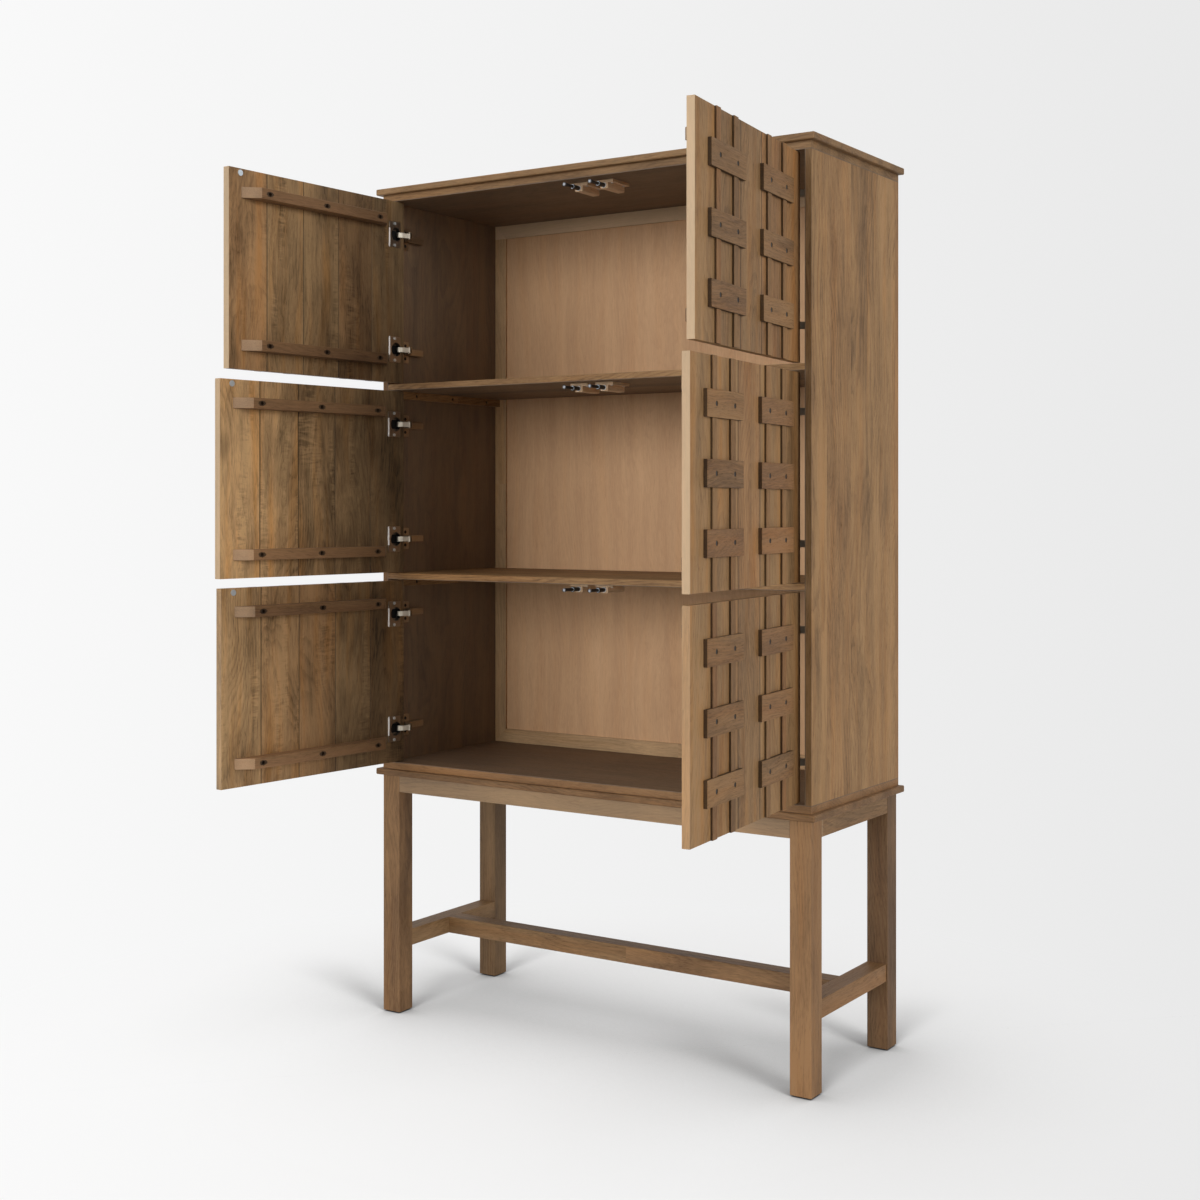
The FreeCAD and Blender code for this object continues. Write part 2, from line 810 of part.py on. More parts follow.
def back_frame():
    """Two stiles and two rails, mitred at the corners and rebated for the panel."""
    outer = inner_half
    inner = inner_half - back_frame_width
    low = floor_level
    high = ceiling_level
    low_in = floor_level + back_frame_width
    high_in = ceiling_level - back_frame_width
    stile = upright_prism([(-outer, low), (-inner, low_in), (-inner, high_in), (-outer, high)])
    low_rail = upright_prism([(-outer, low), (outer, low), (inner, low_in), (-inner, low_in)])
    high_rail = upright_prism([(-outer, high), (outer, high), (inner, high_in), (-inner, high_in)])
    pieces = both_sides(stile) + [low_rail, high_rail]
    return [piece.cut(back_panel_box()) for piece in pieces]


def tenon(x_low, x_high, y_low, y_high, z_low, z_high):
    """The tongue of a rail inside its mortise."""
    return box(x_low, x_high, y_low, y_high, z_low, z_high)


def apron_levels():
    return stand_height - apron_height, stand_height


def front_apron(y_face):
    """An apron between two legs, flush with their outer faces, with a tenon at each end."""
    low, high = apron_levels()
    inward = 1 if y_face < case_depth / 2 else -1
    y_low, y_high = sorted((y_face, y_face + inward * apron_thickness))
    rail = soft_box(rail_edge_radius, -leg_inner, leg_inner, y_low, y_high, low, high)
    return rail, front_tenons(y_low, y_high)


def front_tenons(y_low, y_high):
    low, high = apron_levels()
    middle = (y_low + y_high) / 2
    half = tenon_thickness / 2
    left = tenon(-leg_inner - tenon_length, -leg_inner + tenon_shoulder, middle - half, middle + half,
                 low + tenon_shoulder, high - tenon_shoulder)
    return both_sides(left)


def side_rail(x_low, x_high, z_low, z_high, thickness):
    """A rail between the front and back legs of the left side, with its two tenons."""
    y_front = leg_rows[0] + leg_size
    y_rear = leg_rows[1]
    rail = soft_box(rail_edge_radius, x_low, x_high, y_front, y_rear, z_low, z_high)
    middle = (x_low + x_high) / 2
    half = thickness / 2
    z_pair = (z_low + tenon_shoulder, z_high - tenon_shoulder)
    front = tenon(middle - half, middle + half, y_front - tenon_length, y_front + tenon_shoulder, *z_pair)
    rear = tenon(middle - half, middle + half, y_rear - tenon_shoulder, y_rear + tenon_length, *z_pair)
    return rail, [front, rear]


def side_apron():
    low, high = apron_levels()
    return side_rail(-leg_outer, -leg_outer + apron_thickness, low, high, tenon_thickness)


def side_stretcher():
    outer = -leg_outer + stretcher_inset
    return side_rail(outer, outer + stretcher_width, stretcher_top - stretcher_height, stretcher_top,
                     stretcher_tenon_thickness)


def centre_rail():
    """The long rail between the two side stretchers."""
    end = leg_outer - stretcher_inset - stretcher_width
    low = stretcher_top - stretcher_height
    rear = centre_rail_front + centre_rail_width
    rail = soft_box(rail_edge_radius, -end, end, centre_rail_front, rear, low, stretcher_top)
    middle = (centre_rail_front + rear) / 2
    half = stretcher_tenon_thickness / 2
    left = tenon(-end - tenon_length, -end + tenon_shoulder, middle - half, middle + half,
                 low + tenon_shoulder, stretcher_top - tenon_shoulder)
    return rail, both_sides(left)


def joined(rail, tenons):
    return rail.fuse(tenons).removeSplitter()


def stand_rails():
    """Four aprons, two side stretchers and the centre rail, and the mortises that each kind needs."""
    front, front_ends = front_apron(leg_rows[0])
    rear, rear_ends = front_apron(leg_rows[1] + leg_size)
    apron, apron_ends = side_apron()
    stretcher, stretcher_ends = side_stretcher()
    centre, centre_ends = centre_rail()
    left_stretcher = cut_all(joined(stretcher, stretcher_ends), centre_ends[:1])
    rails = [joined(front, front_ends), joined(rear, rear_ends)]
    rails += both_sides(joined(apron, apron_ends))
    rails += both_sides(left_stretcher)
    rails.append(joined(centre, centre_ends))
    leg_mortises = [front_ends[0], rear_ends[0]] + apron_ends + stretcher_ends
    return rails, leg_mortises


def legs(mortises):
    """Four square legs, mortised for the rails and drilled for the glides."""
    left = []
    for y_low in leg_rows:
        post = soft_box(leg_edge_radius, -leg_outer, -leg_inner, y_low, y_low + leg_size,
                        glide_thickness, stand_height)
        foot = vector(-leg_outer + leg_size / 2, y_low + leg_size / 2, glide_thickness)
        spike = bore(glide_spike_radius, foot, upward, glide_spike_length)
        near = [m for m in mortises if m.BoundBox.YMax > y_low and m.BoundBox.YMin < y_low + leg_size]
        left.append(cut_all(post, near + [spike]))
    return left + [mirrored(post) for post in left]


def glides():
    """A nailed-in glide under each leg."""
    pieces = []
    for y_low in leg_rows:
        centre = vector(-leg_outer + leg_size / 2, y_low + leg_size / 2, 0)
        pad = rod_along(upward, glide_radius, centre, glide_thickness)
        spike = rod_along(upward, glide_spike_radius, centre, glide_thickness + glide_spike_length)
        pieces += both_sides(pad.fuse(spike).removeSplitter())
    return pieces


# Placing

def swing_open(shape, tier, side):
    """A door piece at its closed place, swung to its stored angle, on its own side of the cabinet."""
    placed = moved(shape, -inner_half + door_side_gap, 0, cavity_floors[tier] + door_height_gap)
    axis = vector(-inner_half + hinge_axis_in, hinge_axis_back, 0)
    placed.rotate(axis, upward, -door_open_angles[(tier, side)])
    return placed if side == "left" else mirrored(placed)


def placed_links(tier, side):
    """Both links of a door, turned with it about their pins on the arms."""
    turn = (door_open_angles[(tier, side)] - link_drawn_angle) * link_turn_share
    links = []
    for level in hinge_levels(tier):
        link = moved(hinge_link(), 0, 0, level)
        link.rotate(at_hinge(link_pin_in, link_pin_back, 0), upward, turn)
        links.append(link if side == "left" else mirrored(link))
    return links


def case_hinge_parts():
    """Plates and arms of every hinge."""
    pieces = []
    for tier in tiers:
        for level in hinge_levels(tier):
            for piece in (mounting_plate(), hinge_arm()):
                pieces += both_sides(moved(piece, 0, 0, level))
    return pieces


def case_screws():
    """Every small screw of the case: hinge plates, latch holders and shelf cleats."""
    pieces = []
    for tier in tiers:
        for level in hinge_levels(tier):
            for piece in plate_screws():
                pieces += both_sides(moved(piece, 0, 0, level))
        for sign in (-1, 1):
            for piece in latch_screws():
                pieces.append(moved(piece, sign * latch_axis_side, 0, board_above(tier)))
    for piece in shelf_cleat_screws():
        pieces += both_sides(piece)
    return pieces


def door_corner_reach(tier, side):
    """How far forward the free end of an open door reaches."""
    angle = math.radians(door_open_angles[(tier, side)])
    along = door_side_gap + door_width - hinge_axis_in
    reaches = []
    for face in (-lattice_block_thickness, door_thickness):
        across = face - hinge_axis_back
        reaches.append(hinge_axis_back - along * math.sin(angle) + across * math.cos(angle))
    return min(reaches)


front_reach = min(door_corner_reach(tier, side) for tier in tiers for side in sides)
origin_back = (front_reach + slab_back) / 2


def build():
    """Every node of the cabinet by name, as lists of solids."""
    nodes = {}
    nodes["top_board"] = [slab(case_top_level)]
    nodes["bottom_board"] = [slab(stand_height)]
    top = case_board(ceiling_level, ceiling_level, ceiling_level + panel_tongue_height)
    nodes["case_top"] = [bore_for_latches(top, ceiling_level)]
    nodes["case_bottom"] = [case_board(case_bottom_level, floor_level - panel_tongue_height, floor_level)]
    left_side = side_panel()
    nodes["side_left"] = [left_side]
    nodes["side_right"] = [mirrored(left_side)]
    for name, level in shelf_levels.items():
        nodes["shelf_" + name] = [shelf(level)]
    nodes["back_panel"] = [back_panel_box()]
    nodes["back_frame"] = back_frame()
    nodes["shelf_cleats"] = [
        piece for level in shelf_levels.values() for piece in both_sides(shelf_cleat(level))
    ]
    rails, mortises = stand_rails()
    nodes["stand_rails"] = rails
    nodes["legs"] = legs(mortises)
    nodes["glides"] = glides()
    nodes["latch_blocks"] = hang_latches(latch_block)
    nodes["latch_bodies"] = hang_latches(latch_body)
    nodes["hinge_arms"] = case_hinge_parts()
    nodes["case_screws"] = case_screws()
    door_pieces = {
        "boards": door_boards(),
        "lattice": door_lattice(),
        "cleats": door_cleats(),
        "hardware": door_hardware(),
        "fasteners": door_fasteners(),
    }
    for tier in tiers:
        for side in sides:
            sign = -1 if side == "left" else 1
            for kind, shapes in door_pieces.items():
                nodes["door_%s_%s_%s" % (tier, side, kind)] = [swing_open(s, tier, side) for s in shapes]
            nodes["hinge_links_%s_%s" % (tier, side)] = placed_links(tier, side)
            nodes["latch_plunger_%s_%s" % (tier, side)] = [
                moved(piece, sign * latch_axis_side, 0, board_above(tier)) for piece in latch_plunger()
            ]
    return nodes


def export(nodes):
    """One file for each node, moved to the part's own origin."""
    os.makedirs("parts", exist_ok=True)
    for name, solids in nodes.items():
        shape = solids[0].copy() if len(solids) == 1 else Part.makeCompound(solids)
        shape.translate(vector(0, -origin_back, 0))
        shape.exportStep("parts/" + name + ".step")


export(build())
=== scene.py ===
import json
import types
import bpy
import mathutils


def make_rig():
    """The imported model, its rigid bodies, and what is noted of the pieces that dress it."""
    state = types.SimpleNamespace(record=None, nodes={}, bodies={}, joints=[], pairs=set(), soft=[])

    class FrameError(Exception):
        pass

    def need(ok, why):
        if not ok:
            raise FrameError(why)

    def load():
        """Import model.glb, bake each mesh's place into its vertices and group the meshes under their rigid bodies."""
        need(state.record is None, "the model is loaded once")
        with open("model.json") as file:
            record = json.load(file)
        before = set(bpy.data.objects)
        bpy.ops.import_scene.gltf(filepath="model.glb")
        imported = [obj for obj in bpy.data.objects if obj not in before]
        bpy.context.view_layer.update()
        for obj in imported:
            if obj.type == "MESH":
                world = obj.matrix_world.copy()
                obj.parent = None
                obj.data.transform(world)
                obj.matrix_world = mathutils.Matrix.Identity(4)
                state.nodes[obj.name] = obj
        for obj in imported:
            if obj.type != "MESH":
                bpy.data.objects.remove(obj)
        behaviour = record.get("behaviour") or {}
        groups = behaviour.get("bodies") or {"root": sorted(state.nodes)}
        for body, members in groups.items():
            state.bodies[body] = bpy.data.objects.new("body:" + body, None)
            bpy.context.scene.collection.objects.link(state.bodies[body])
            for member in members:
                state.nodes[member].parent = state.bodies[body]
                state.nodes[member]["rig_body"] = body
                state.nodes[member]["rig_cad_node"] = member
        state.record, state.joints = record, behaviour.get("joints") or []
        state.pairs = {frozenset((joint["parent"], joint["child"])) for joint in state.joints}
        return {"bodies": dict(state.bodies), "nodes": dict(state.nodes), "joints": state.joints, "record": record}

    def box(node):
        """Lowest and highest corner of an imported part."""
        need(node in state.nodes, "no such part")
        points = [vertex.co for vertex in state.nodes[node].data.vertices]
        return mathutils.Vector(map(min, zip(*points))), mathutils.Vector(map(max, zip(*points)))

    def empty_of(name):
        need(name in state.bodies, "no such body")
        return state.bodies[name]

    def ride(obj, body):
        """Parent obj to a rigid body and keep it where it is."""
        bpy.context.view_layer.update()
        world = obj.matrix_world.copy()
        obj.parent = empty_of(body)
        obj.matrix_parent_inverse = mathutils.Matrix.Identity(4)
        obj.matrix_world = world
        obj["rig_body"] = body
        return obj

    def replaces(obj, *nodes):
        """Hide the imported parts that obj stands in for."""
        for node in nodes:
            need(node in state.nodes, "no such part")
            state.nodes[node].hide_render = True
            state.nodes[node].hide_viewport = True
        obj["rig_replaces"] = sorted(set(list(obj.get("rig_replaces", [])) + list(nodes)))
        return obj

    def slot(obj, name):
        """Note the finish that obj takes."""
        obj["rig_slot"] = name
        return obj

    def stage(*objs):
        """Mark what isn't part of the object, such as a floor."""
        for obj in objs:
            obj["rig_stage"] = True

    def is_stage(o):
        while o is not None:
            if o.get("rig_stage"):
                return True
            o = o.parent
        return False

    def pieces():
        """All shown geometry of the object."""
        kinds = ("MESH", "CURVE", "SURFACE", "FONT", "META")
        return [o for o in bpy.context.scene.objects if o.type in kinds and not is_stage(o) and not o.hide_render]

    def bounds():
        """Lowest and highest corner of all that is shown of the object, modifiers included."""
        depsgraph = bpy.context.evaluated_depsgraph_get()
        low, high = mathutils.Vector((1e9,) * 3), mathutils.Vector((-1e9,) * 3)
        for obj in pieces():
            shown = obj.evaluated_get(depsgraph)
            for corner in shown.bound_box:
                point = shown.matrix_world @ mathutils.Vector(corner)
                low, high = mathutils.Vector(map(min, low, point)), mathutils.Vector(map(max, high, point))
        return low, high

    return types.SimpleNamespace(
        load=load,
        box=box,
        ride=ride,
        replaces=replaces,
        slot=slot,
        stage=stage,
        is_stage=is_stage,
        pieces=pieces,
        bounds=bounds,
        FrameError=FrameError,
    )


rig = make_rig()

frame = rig.load()

import json
import math

import bmesh
import bpy
from mathutils import Matrix, Vector

bl_info = {
    "name": "Tall lattice-door cabinet",
    "version": (1, 0, 0),
    "blender": (4, 5, 0),
    "location": "3D View > Sidebar > Cabinet",
    "description": "Stained wood, hardware, fasteners and a studio stage for a tall cabinet "
                   "with lattice-faced doors",
    "category": "Object",
}

CAD_LOW, CAD_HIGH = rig.bounds()
TIERS = ("upper", "middle", "lower")
SIDES = ("left", "right")
MM = 0.001
SIZE_FILE = "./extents.json"


def tint(red, green, blue):
    """A colour written as it looks on a screen, 0 to 255, in the linear values that shaders take."""
    values = []
    for part in (red, green, blue):
        share = part / 255
        values.append(share / 12.92 if share <= 0.04045 else ((share + 0.055) / 1.055) ** 2.4)
    return tuple(values)


# Sizes and colours that a user would change


def colour_setting(label, text, *tone):
    return bpy.props.FloatVectorProperty(
        name=label, description=text, default=tint(*tone), subtype="COLOR", min=0, max=1)


def length_setting(label, text, millimetres):
    return bpy.props.FloatProperty(name=label, description=text, default=millimetres * MM, unit="LENGTH")


def level_setting(label, text, level, **limits):
    return bpy.props.FloatProperty(name=label, description=text, default=level, min=0, **limits)


class WoodFinish(bpy.types.PropertyGroup):
    """Stain colours and figure of the wood, and the tones of its painted light and painted shade."""

    board_light: colour_setting(
        "Board light", "Lightest tone of the right doors, sides and shelves", 174, 135, 91)
    board_dark: colour_setting(
        "Board dark", "Darkest tone of the right doors, sides and shelves", 100, 72, 43)
    frame_light: colour_setting("Frame light", "Lightest tone of the slabs, legs and rails", 154, 120, 82)
    frame_dark: colour_setting("Frame dark", "Darkest tone of the slabs, legs and rails", 92, 67, 42)
    back_light: colour_setting("Back light", "Lightest tone of the back panel's veneer", 217, 175, 133)
    back_dark: colour_setting("Back dark", "Darkest tone of the back panel's veneer", 190, 149, 111)
    inner_light: colour_setting(
        "Inner light", "Lightest tone of the left doors, whose boards have the most figure", 212, 170, 120)
    inner_dark: colour_setting("Inner dark", "Darkest tone of the left doors", 92, 70, 46)
    back_frame_light: colour_setting(
        "Back frame light", "Lightest tone of the frame round the back panel", 198, 162, 120)
    back_frame_dark: colour_setting(
        "Back frame dark", "Darkest tone of the frame round the back panel", 142, 114, 82)
    lattice_light: colour_setting(
        "Lattice light", "Lightest tone of the battens and blocks on the doors", 156, 117, 75)
    lattice_dark: colour_setting(
        "Lattice dark", "Darkest tone of the battens and blocks on the doors", 88, 62, 36)
    cleat_light: colour_setting("Cleat light", "Lightest tone of the cleats across the doors", 152, 115, 80)
    cleat_dark: colour_setting("Cleat dark", "Darkest tone of the cleats across the doors", 90, 65, 43)
    # Painted shade: a darker, greyer tone on the faces inside the case
    inside: colour_setting("Inside", "Grey-brown tone of the stain inside the case", 100, 91, 82)
    holder_light: colour_setting(
        "Holder light", "Lightest tone of the bare wooden latch holders", 244, 214, 178)
    holder_dark: colour_setting("Holder dark", "Darkest tone of the bare wooden latch holders", 200, 166, 130)
    # The free-edge tone is painted light, on the doors' free edges and, as the default painted tone, on the front
    # apron and the back frame's top rail
    free_edge_painted_light: colour_setting(
        "Free edge", "Tone of the doors' free edges, where the stain is rubbed", 222, 194, 160)
    figure: level_setting(
        "Figure", "Strength of the rippled figure in the left doors", 0.6, max=1, subtype="FACTOR")
    pore_depth: level_setting(
        "Pore depth", "Depth of the open pores in the surface", 0.12 * MM, max=1 * MM, unit="LENGTH")


class LatticeSizes(bpy.types.PropertyGroup):
    """Where the lattice lies on a door, from the door's own sizes."""

    door_width: length_setting("Door width", "From the hinge end to the free edge", 557.5)
    board_count: bpy.props.IntProperty(
        name="Boards", description="Upright boards in a door", default=5, min=1)
    column_offset: length_setting(
        "Column offset", "From the middle of the door to the middle of each lattice column", 133)
    batten_pitch: length_setting("Batten pitch", "Between the two battens of a column", 87)
    batten_thickness: length_setting("Batten thickness", "How far a batten stands off the door", 5)
    block_width: length_setting("Block width", "Across the two battens", 172)
    block_height: length_setting("Block height", "Along the battens", 52)
    block_thickness: length_setting("Block thickness", "How far a block stands off the door", 8.5)
    block_pitch: length_setting("Block pitch", "Between the blocks of a column", 129)


class FastenerSizes(bpy.types.PropertyGroup):
    """Nails and screws."""

    nail_head_radius: length_setting("Nail head radius", "Of the dark nails in the lattice", 4.9)
    nail_recess: length_setting("Nail recess", "Depth of the pocket that each nail sits in", 1.5)
    screw_head_radius: length_setting("Screw head radius", "Of the dark wood screws", 4)
    plate_screw_radius: length_setting("Plate screw radius", "Of the dark screws in the hinge plates", 3.8)
    latch_screw_radius: length_setting("Latch screw radius", "Of the bright screws in the latch holders", 3)


class StudioLook(bpy.types.PropertyGroup):
    """Floor, backdrop and lights."""

    paper_left: colour_setting("Paper left", "Backdrop tone at the left of the view", 249, 249, 249)
    paper_right: colour_setting("Paper right", "Backdrop tone at the right of the view", 233, 233, 233)
    shadow_depth: level_setting(
        "Shadow depth", "How dark the soft shadow under the cabinet is", 1.0, max=2, subtype="FACTOR")
    shadow_reach: length_setting(
        "Shadow reach", "Height up to which the cabinet darkens the floor below it", 620)
    ambient: level_setting("Ambient", "Level of the light that comes from all round", 0.11)
    bounce: level_setting("Bounce", "Share of the light that the floor throws back up", 0.28, max=1)
    front_light: level_setting("Front light", "Level of the soft light from the front", 0.72)
    side_light: level_setting("Side light", "Level of the soft light from the right", 0.54)
    foot_light: level_setting(
        "Foot light", "Level of the lamps that draw the short shadows at the feet", 0.58)
    top_light: level_setting("Top light", "Level of the soft light from overhead", 0.30)


# Places of the doors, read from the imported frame

# From the corner of the door at its hinge end and outer face
HINGE_IN_DOOR = Vector((16.2 * MM, 1.4 * MM, 0))
HINGE_INSET = 80 * MM
CLEAT_MIDDLE = 291 * MM
CLEAT_SCREW_PITCH = 175 * MM
CLEAT_INSET = 52 * MM


def door_pose(tier, side):
    """Matrix from a left door's own frame (along, depth, height) to the cabinet, door standing open."""
    name = "door_hinge_%s_%s" % (tier, side)
    joint = next(joint for joint in frame["joints"] if joint["name"] == name)
    opened = math.radians(-joint["range_deg"][0])
    low = door_box(tier, side)[0].z
    pivot = Vector((-abs(joint["pos_m"][0]), joint["pos_m"][1], low))
    placed = Matrix.Translation(pivot) @ Matrix.Rotation(-opened, 4, "Z") @ Matrix.Translation(-HINGE_IN_DOOR)
    if side == "left":
        return placed
    return Matrix.Scale(-1, 4, (1, 0, 0)) @ placed


def door_box(tier, side):
    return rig.box("door_%s_%s_boards" % (tier, side))


def door_half_height(tier, side):
    low, high = door_box(tier, side)
    return (high.z - low.z) / 2


def doors():
    """Tier, side and body of each of the six doors. Its nodes' names start with the body's."""
    for tier in TIERS:
        for side in SIDES:
            yield tier, side, "door_%s_%s" % (tier, side)


# Shader arithmetic


class Signal:
    """A socket of a node tree. Arithmetic on it adds math nodes."""

    def __init__(self, tree, socket):
        self.tree = tree
        self.socket = socket

    def apply(self, operation, *others, clamp=False):
        return math_node(self.tree, operation, self, *others, clamp=clamp)

    def __add__(self, other):
        return self.apply("ADD", other)

    def __sub__(self, other):
        return self.apply("SUBTRACT", other)

    def __rsub__(self, other):
        return math_node(self.tree, "SUBTRACT", other, self)

    def __mul__(self, other):
        return self.apply("MULTIPLY", other)

    def __truediv__(self, other):
        return self.apply("DIVIDE", other)

    def __gt__(self, other):
        return self.apply("GREATER_THAN", other)

    def __lt__(self, other):
        return self.apply("LESS_THAN", other)

    def __abs__(self):
        return self.apply("ABSOLUTE")

    def __floor__(self):
        return self.apply("FLOOR")

    def __round__(self):
        return self.apply("ROUND")

    __radd__ = __add__


def add(tree, kind, **settings):
    made = tree.nodes.new(kind)
    for key, value in settings.items():
        setattr(made, key, value)
    return made


def feed(tree, socket, value):
    """Links a socket, or sets its value."""
    if isinstance(value, Signal):
        tree.links.new(value.socket, socket)
    elif value is not None:
        socket.default_value = value


def math_node(tree, operation, *values, clamp=False):
    made = add(tree, "ShaderNodeMath", operation=operation, use_clamp=clamp)
    for socket, value in zip(made.inputs, values):
        feed(tree, socket, value)
    return Signal(tree, made.outputs[0])


def tree_of(*values):
    return next(value.tree for value in values if isinstance(value, Signal))


def larger(first, second):
    return first.apply("MAXIMUM", second)


def smaller(first, second):
    return first.apply("MINIMUM", second)


def distance(across, up):
    return (across * across + up * up).apply("SQRT")


def vector_math(operation, first, second=None, output=0):
    tree = tree_of(first, second)
    made = add(tree, "ShaderNodeVectorMath", operation=operation)
    for socket, value in zip(made.inputs, (first, second)):
        feed(tree, socket, value)
    return Signal(tree, made.outputs[output])


def combine(x, y, z):
    tree = tree_of(x, y, z)
    made = add(tree, "ShaderNodeCombineXYZ")
    for socket, value in zip(made.inputs, (x, y, z)):
        feed(tree, socket, value)
    return Signal(tree, made.outputs[0])


def separate(value):
    made = add(value.tree, "ShaderNodeSeparateXYZ")
    feed(value.tree, made.inputs[0], value)
    return [Signal(value.tree, socket) for socket in made.outputs]


def mix(kind, factor, first, second, sockets, output, **settings):
    tree = tree_of(factor, first, second)
    made = add(tree, "ShaderNodeMix", data_type=kind, **settings)
    feed(tree, made.inputs["Factor"], factor)
    for socket, value in zip(sockets, (first, second)):
        feed(tree, made.inputs[socket], value)
    return Signal(tree, made.outputs[output])


def mix_number(factor, first, second):
    return mix("FLOAT", factor, first, second, (2, 3), 0)


def mix_vector(factor, first, second):
    return mix("VECTOR", factor, first, second, (4, 5), 1)


def mix_colour(factor, first, second, blend="MIX"):
    first, second = (value if isinstance(value, Signal) else (*value, 1)[:4] for value in (first, second))
    return mix("RGBA", factor, first, second, (6, 7), 2, blend_type=blend)


def stain_and_shade(colour, amount, tone):
    """A colour times a tone, by an amount from zero to one."""
    return mix_colour(amount, colour, mix_colour(1.0, colour, tone, "MULTIPLY"))


def noise_node(place, stretch, detail=3.0, roughness=0.55, distortion=0.0):
    """Noise whose scale differs along each axis."""
    made = add(place.tree, "ShaderNodeTexNoise")
    for name, value in (("Vector", vector_math("MULTIPLY", place, stretch)), ("Scale", 1.0),
                        ("Detail", detail), ("Roughness", roughness), ("Distortion", distortion)):
        feed(place.tree, made.inputs[name], value)
    return made


def noise(place, *settings):
    return Signal(place.tree, noise_node(place, *settings).outputs["Fac"])


def span(value, low, high, to_low=0.0, to_high=1.0, smooth=False):
    """A value moved from one range to another, and held at its ends."""
    made = add(value.tree, "ShaderNodeMapRange", interpolation_type="SMOOTHSTEP" if smooth else "LINEAR")
    for name, number in (("Value", value), ("From Min", low), ("From Max", high),
                         ("To Min", to_low), ("To Max", to_high)):
        feed(value.tree, made.inputs[name], number)
    return Signal(value.tree, made.outputs[0])


def within(value, low, high):
    """One where the value lies between two limits, otherwise zero."""
    return (value > low) * (value < high)


def object_place(tree):
    return Signal(tree, add(tree, "ShaderNodeTexCoord").outputs["Object"])


def object_xyz(tree):
    return separate(object_place(tree))


def new_material(name):
    material = bpy.data.materials.new(name)
    material.use_nodes = True
    tree = material.node_tree
    tree.nodes.clear()
    out = add(tree, "ShaderNodeOutputMaterial")
    surface = add(tree, "ShaderNodeBsdfPrincipled")
    tree.links.new(surface.outputs[0], out.inputs[0])
    return material, tree, surface


def bump_from(height, strength, depth):
    made = add(height.tree, "ShaderNodeBump")
    made.inputs["Strength"].default_value = strength
    feed(height.tree, made.inputs["Distance"], depth)
    feed(height.tree, made.inputs["Height"], height)
    return Signal(height.tree, made.outputs[0])


# Stained wood

# Scale along, across and into the board in turns a metre, then detail, roughness and distortion
BEND_NOISE = ((2.6, 7.0, 7.0), 1.5, 0.5)
WOBBLE_NOISE = ((5.0, 30.0, 30.0), 2.0)
RING_FADE_NOISE = ((2.0, 16.0, 16.0), 1.0)
STREAK_NOISE = ((4.0, 190.0, 190.0), 4.0, 0.66)
FIBRE_NOISE = ((26.0, 620.0, 620.0), 2.0, 0.6)
BROAD_NOISE = ((1.5, 26.0, 26.0), 2.0, 0.55)
PATCH_NOISE = ((5.0, 13.0, 13.0), 3.0, 0.55)
RIPPLE_NOISE = ((120.0, 24.0, 24.0), 1.5, 0.5, 1.2)
RIPPLE_ZONE_NOISE = ((3.2, 21.0, 21.0), 1.0)
PORE_NOISE = ((60.0, 700.0, 700.0), 1.0, 0.5)
VEIN_NOISE = ((2.2, 60.0, 60.0), 3.0, 0.5)
HUE_NOISE = ((1.8, 30.0, 30.0), 2.0)
KNOT_SCALE = (2.2, 5.5, 5.5)
PIECE_SHIFT = (7.0, 5.0, 6.0)
GRAIN_WANDER = (0.0, 60 * MM, 50 * MM)
RING_WANDER = (0.0, 90 * MM, 90 * MM)
RING_SIDEWAYS = 50 * MM
RING_DEPTHS = (20 * MM, 80 * MM)
RING_SLANT = 0.2
PIECE_TONE = 0.2
RING_WIDTH = 7.5 * MM
RING_WOBBLE = 13 * MM
MEAN_LEVEL = 0.66
AMBER = (1.04, 0.86, 0.60)
GREY = (0.84, 0.87, 0.88)
RED = (0.98, 0.86, 0.80)
VEIN = (0.60, 0.62, 0.64)
SHADE = (0.20, 0.21, 0.22)
WOOD_GLOSS = 0.28
PAINTED_TONE_MIX = 0.35


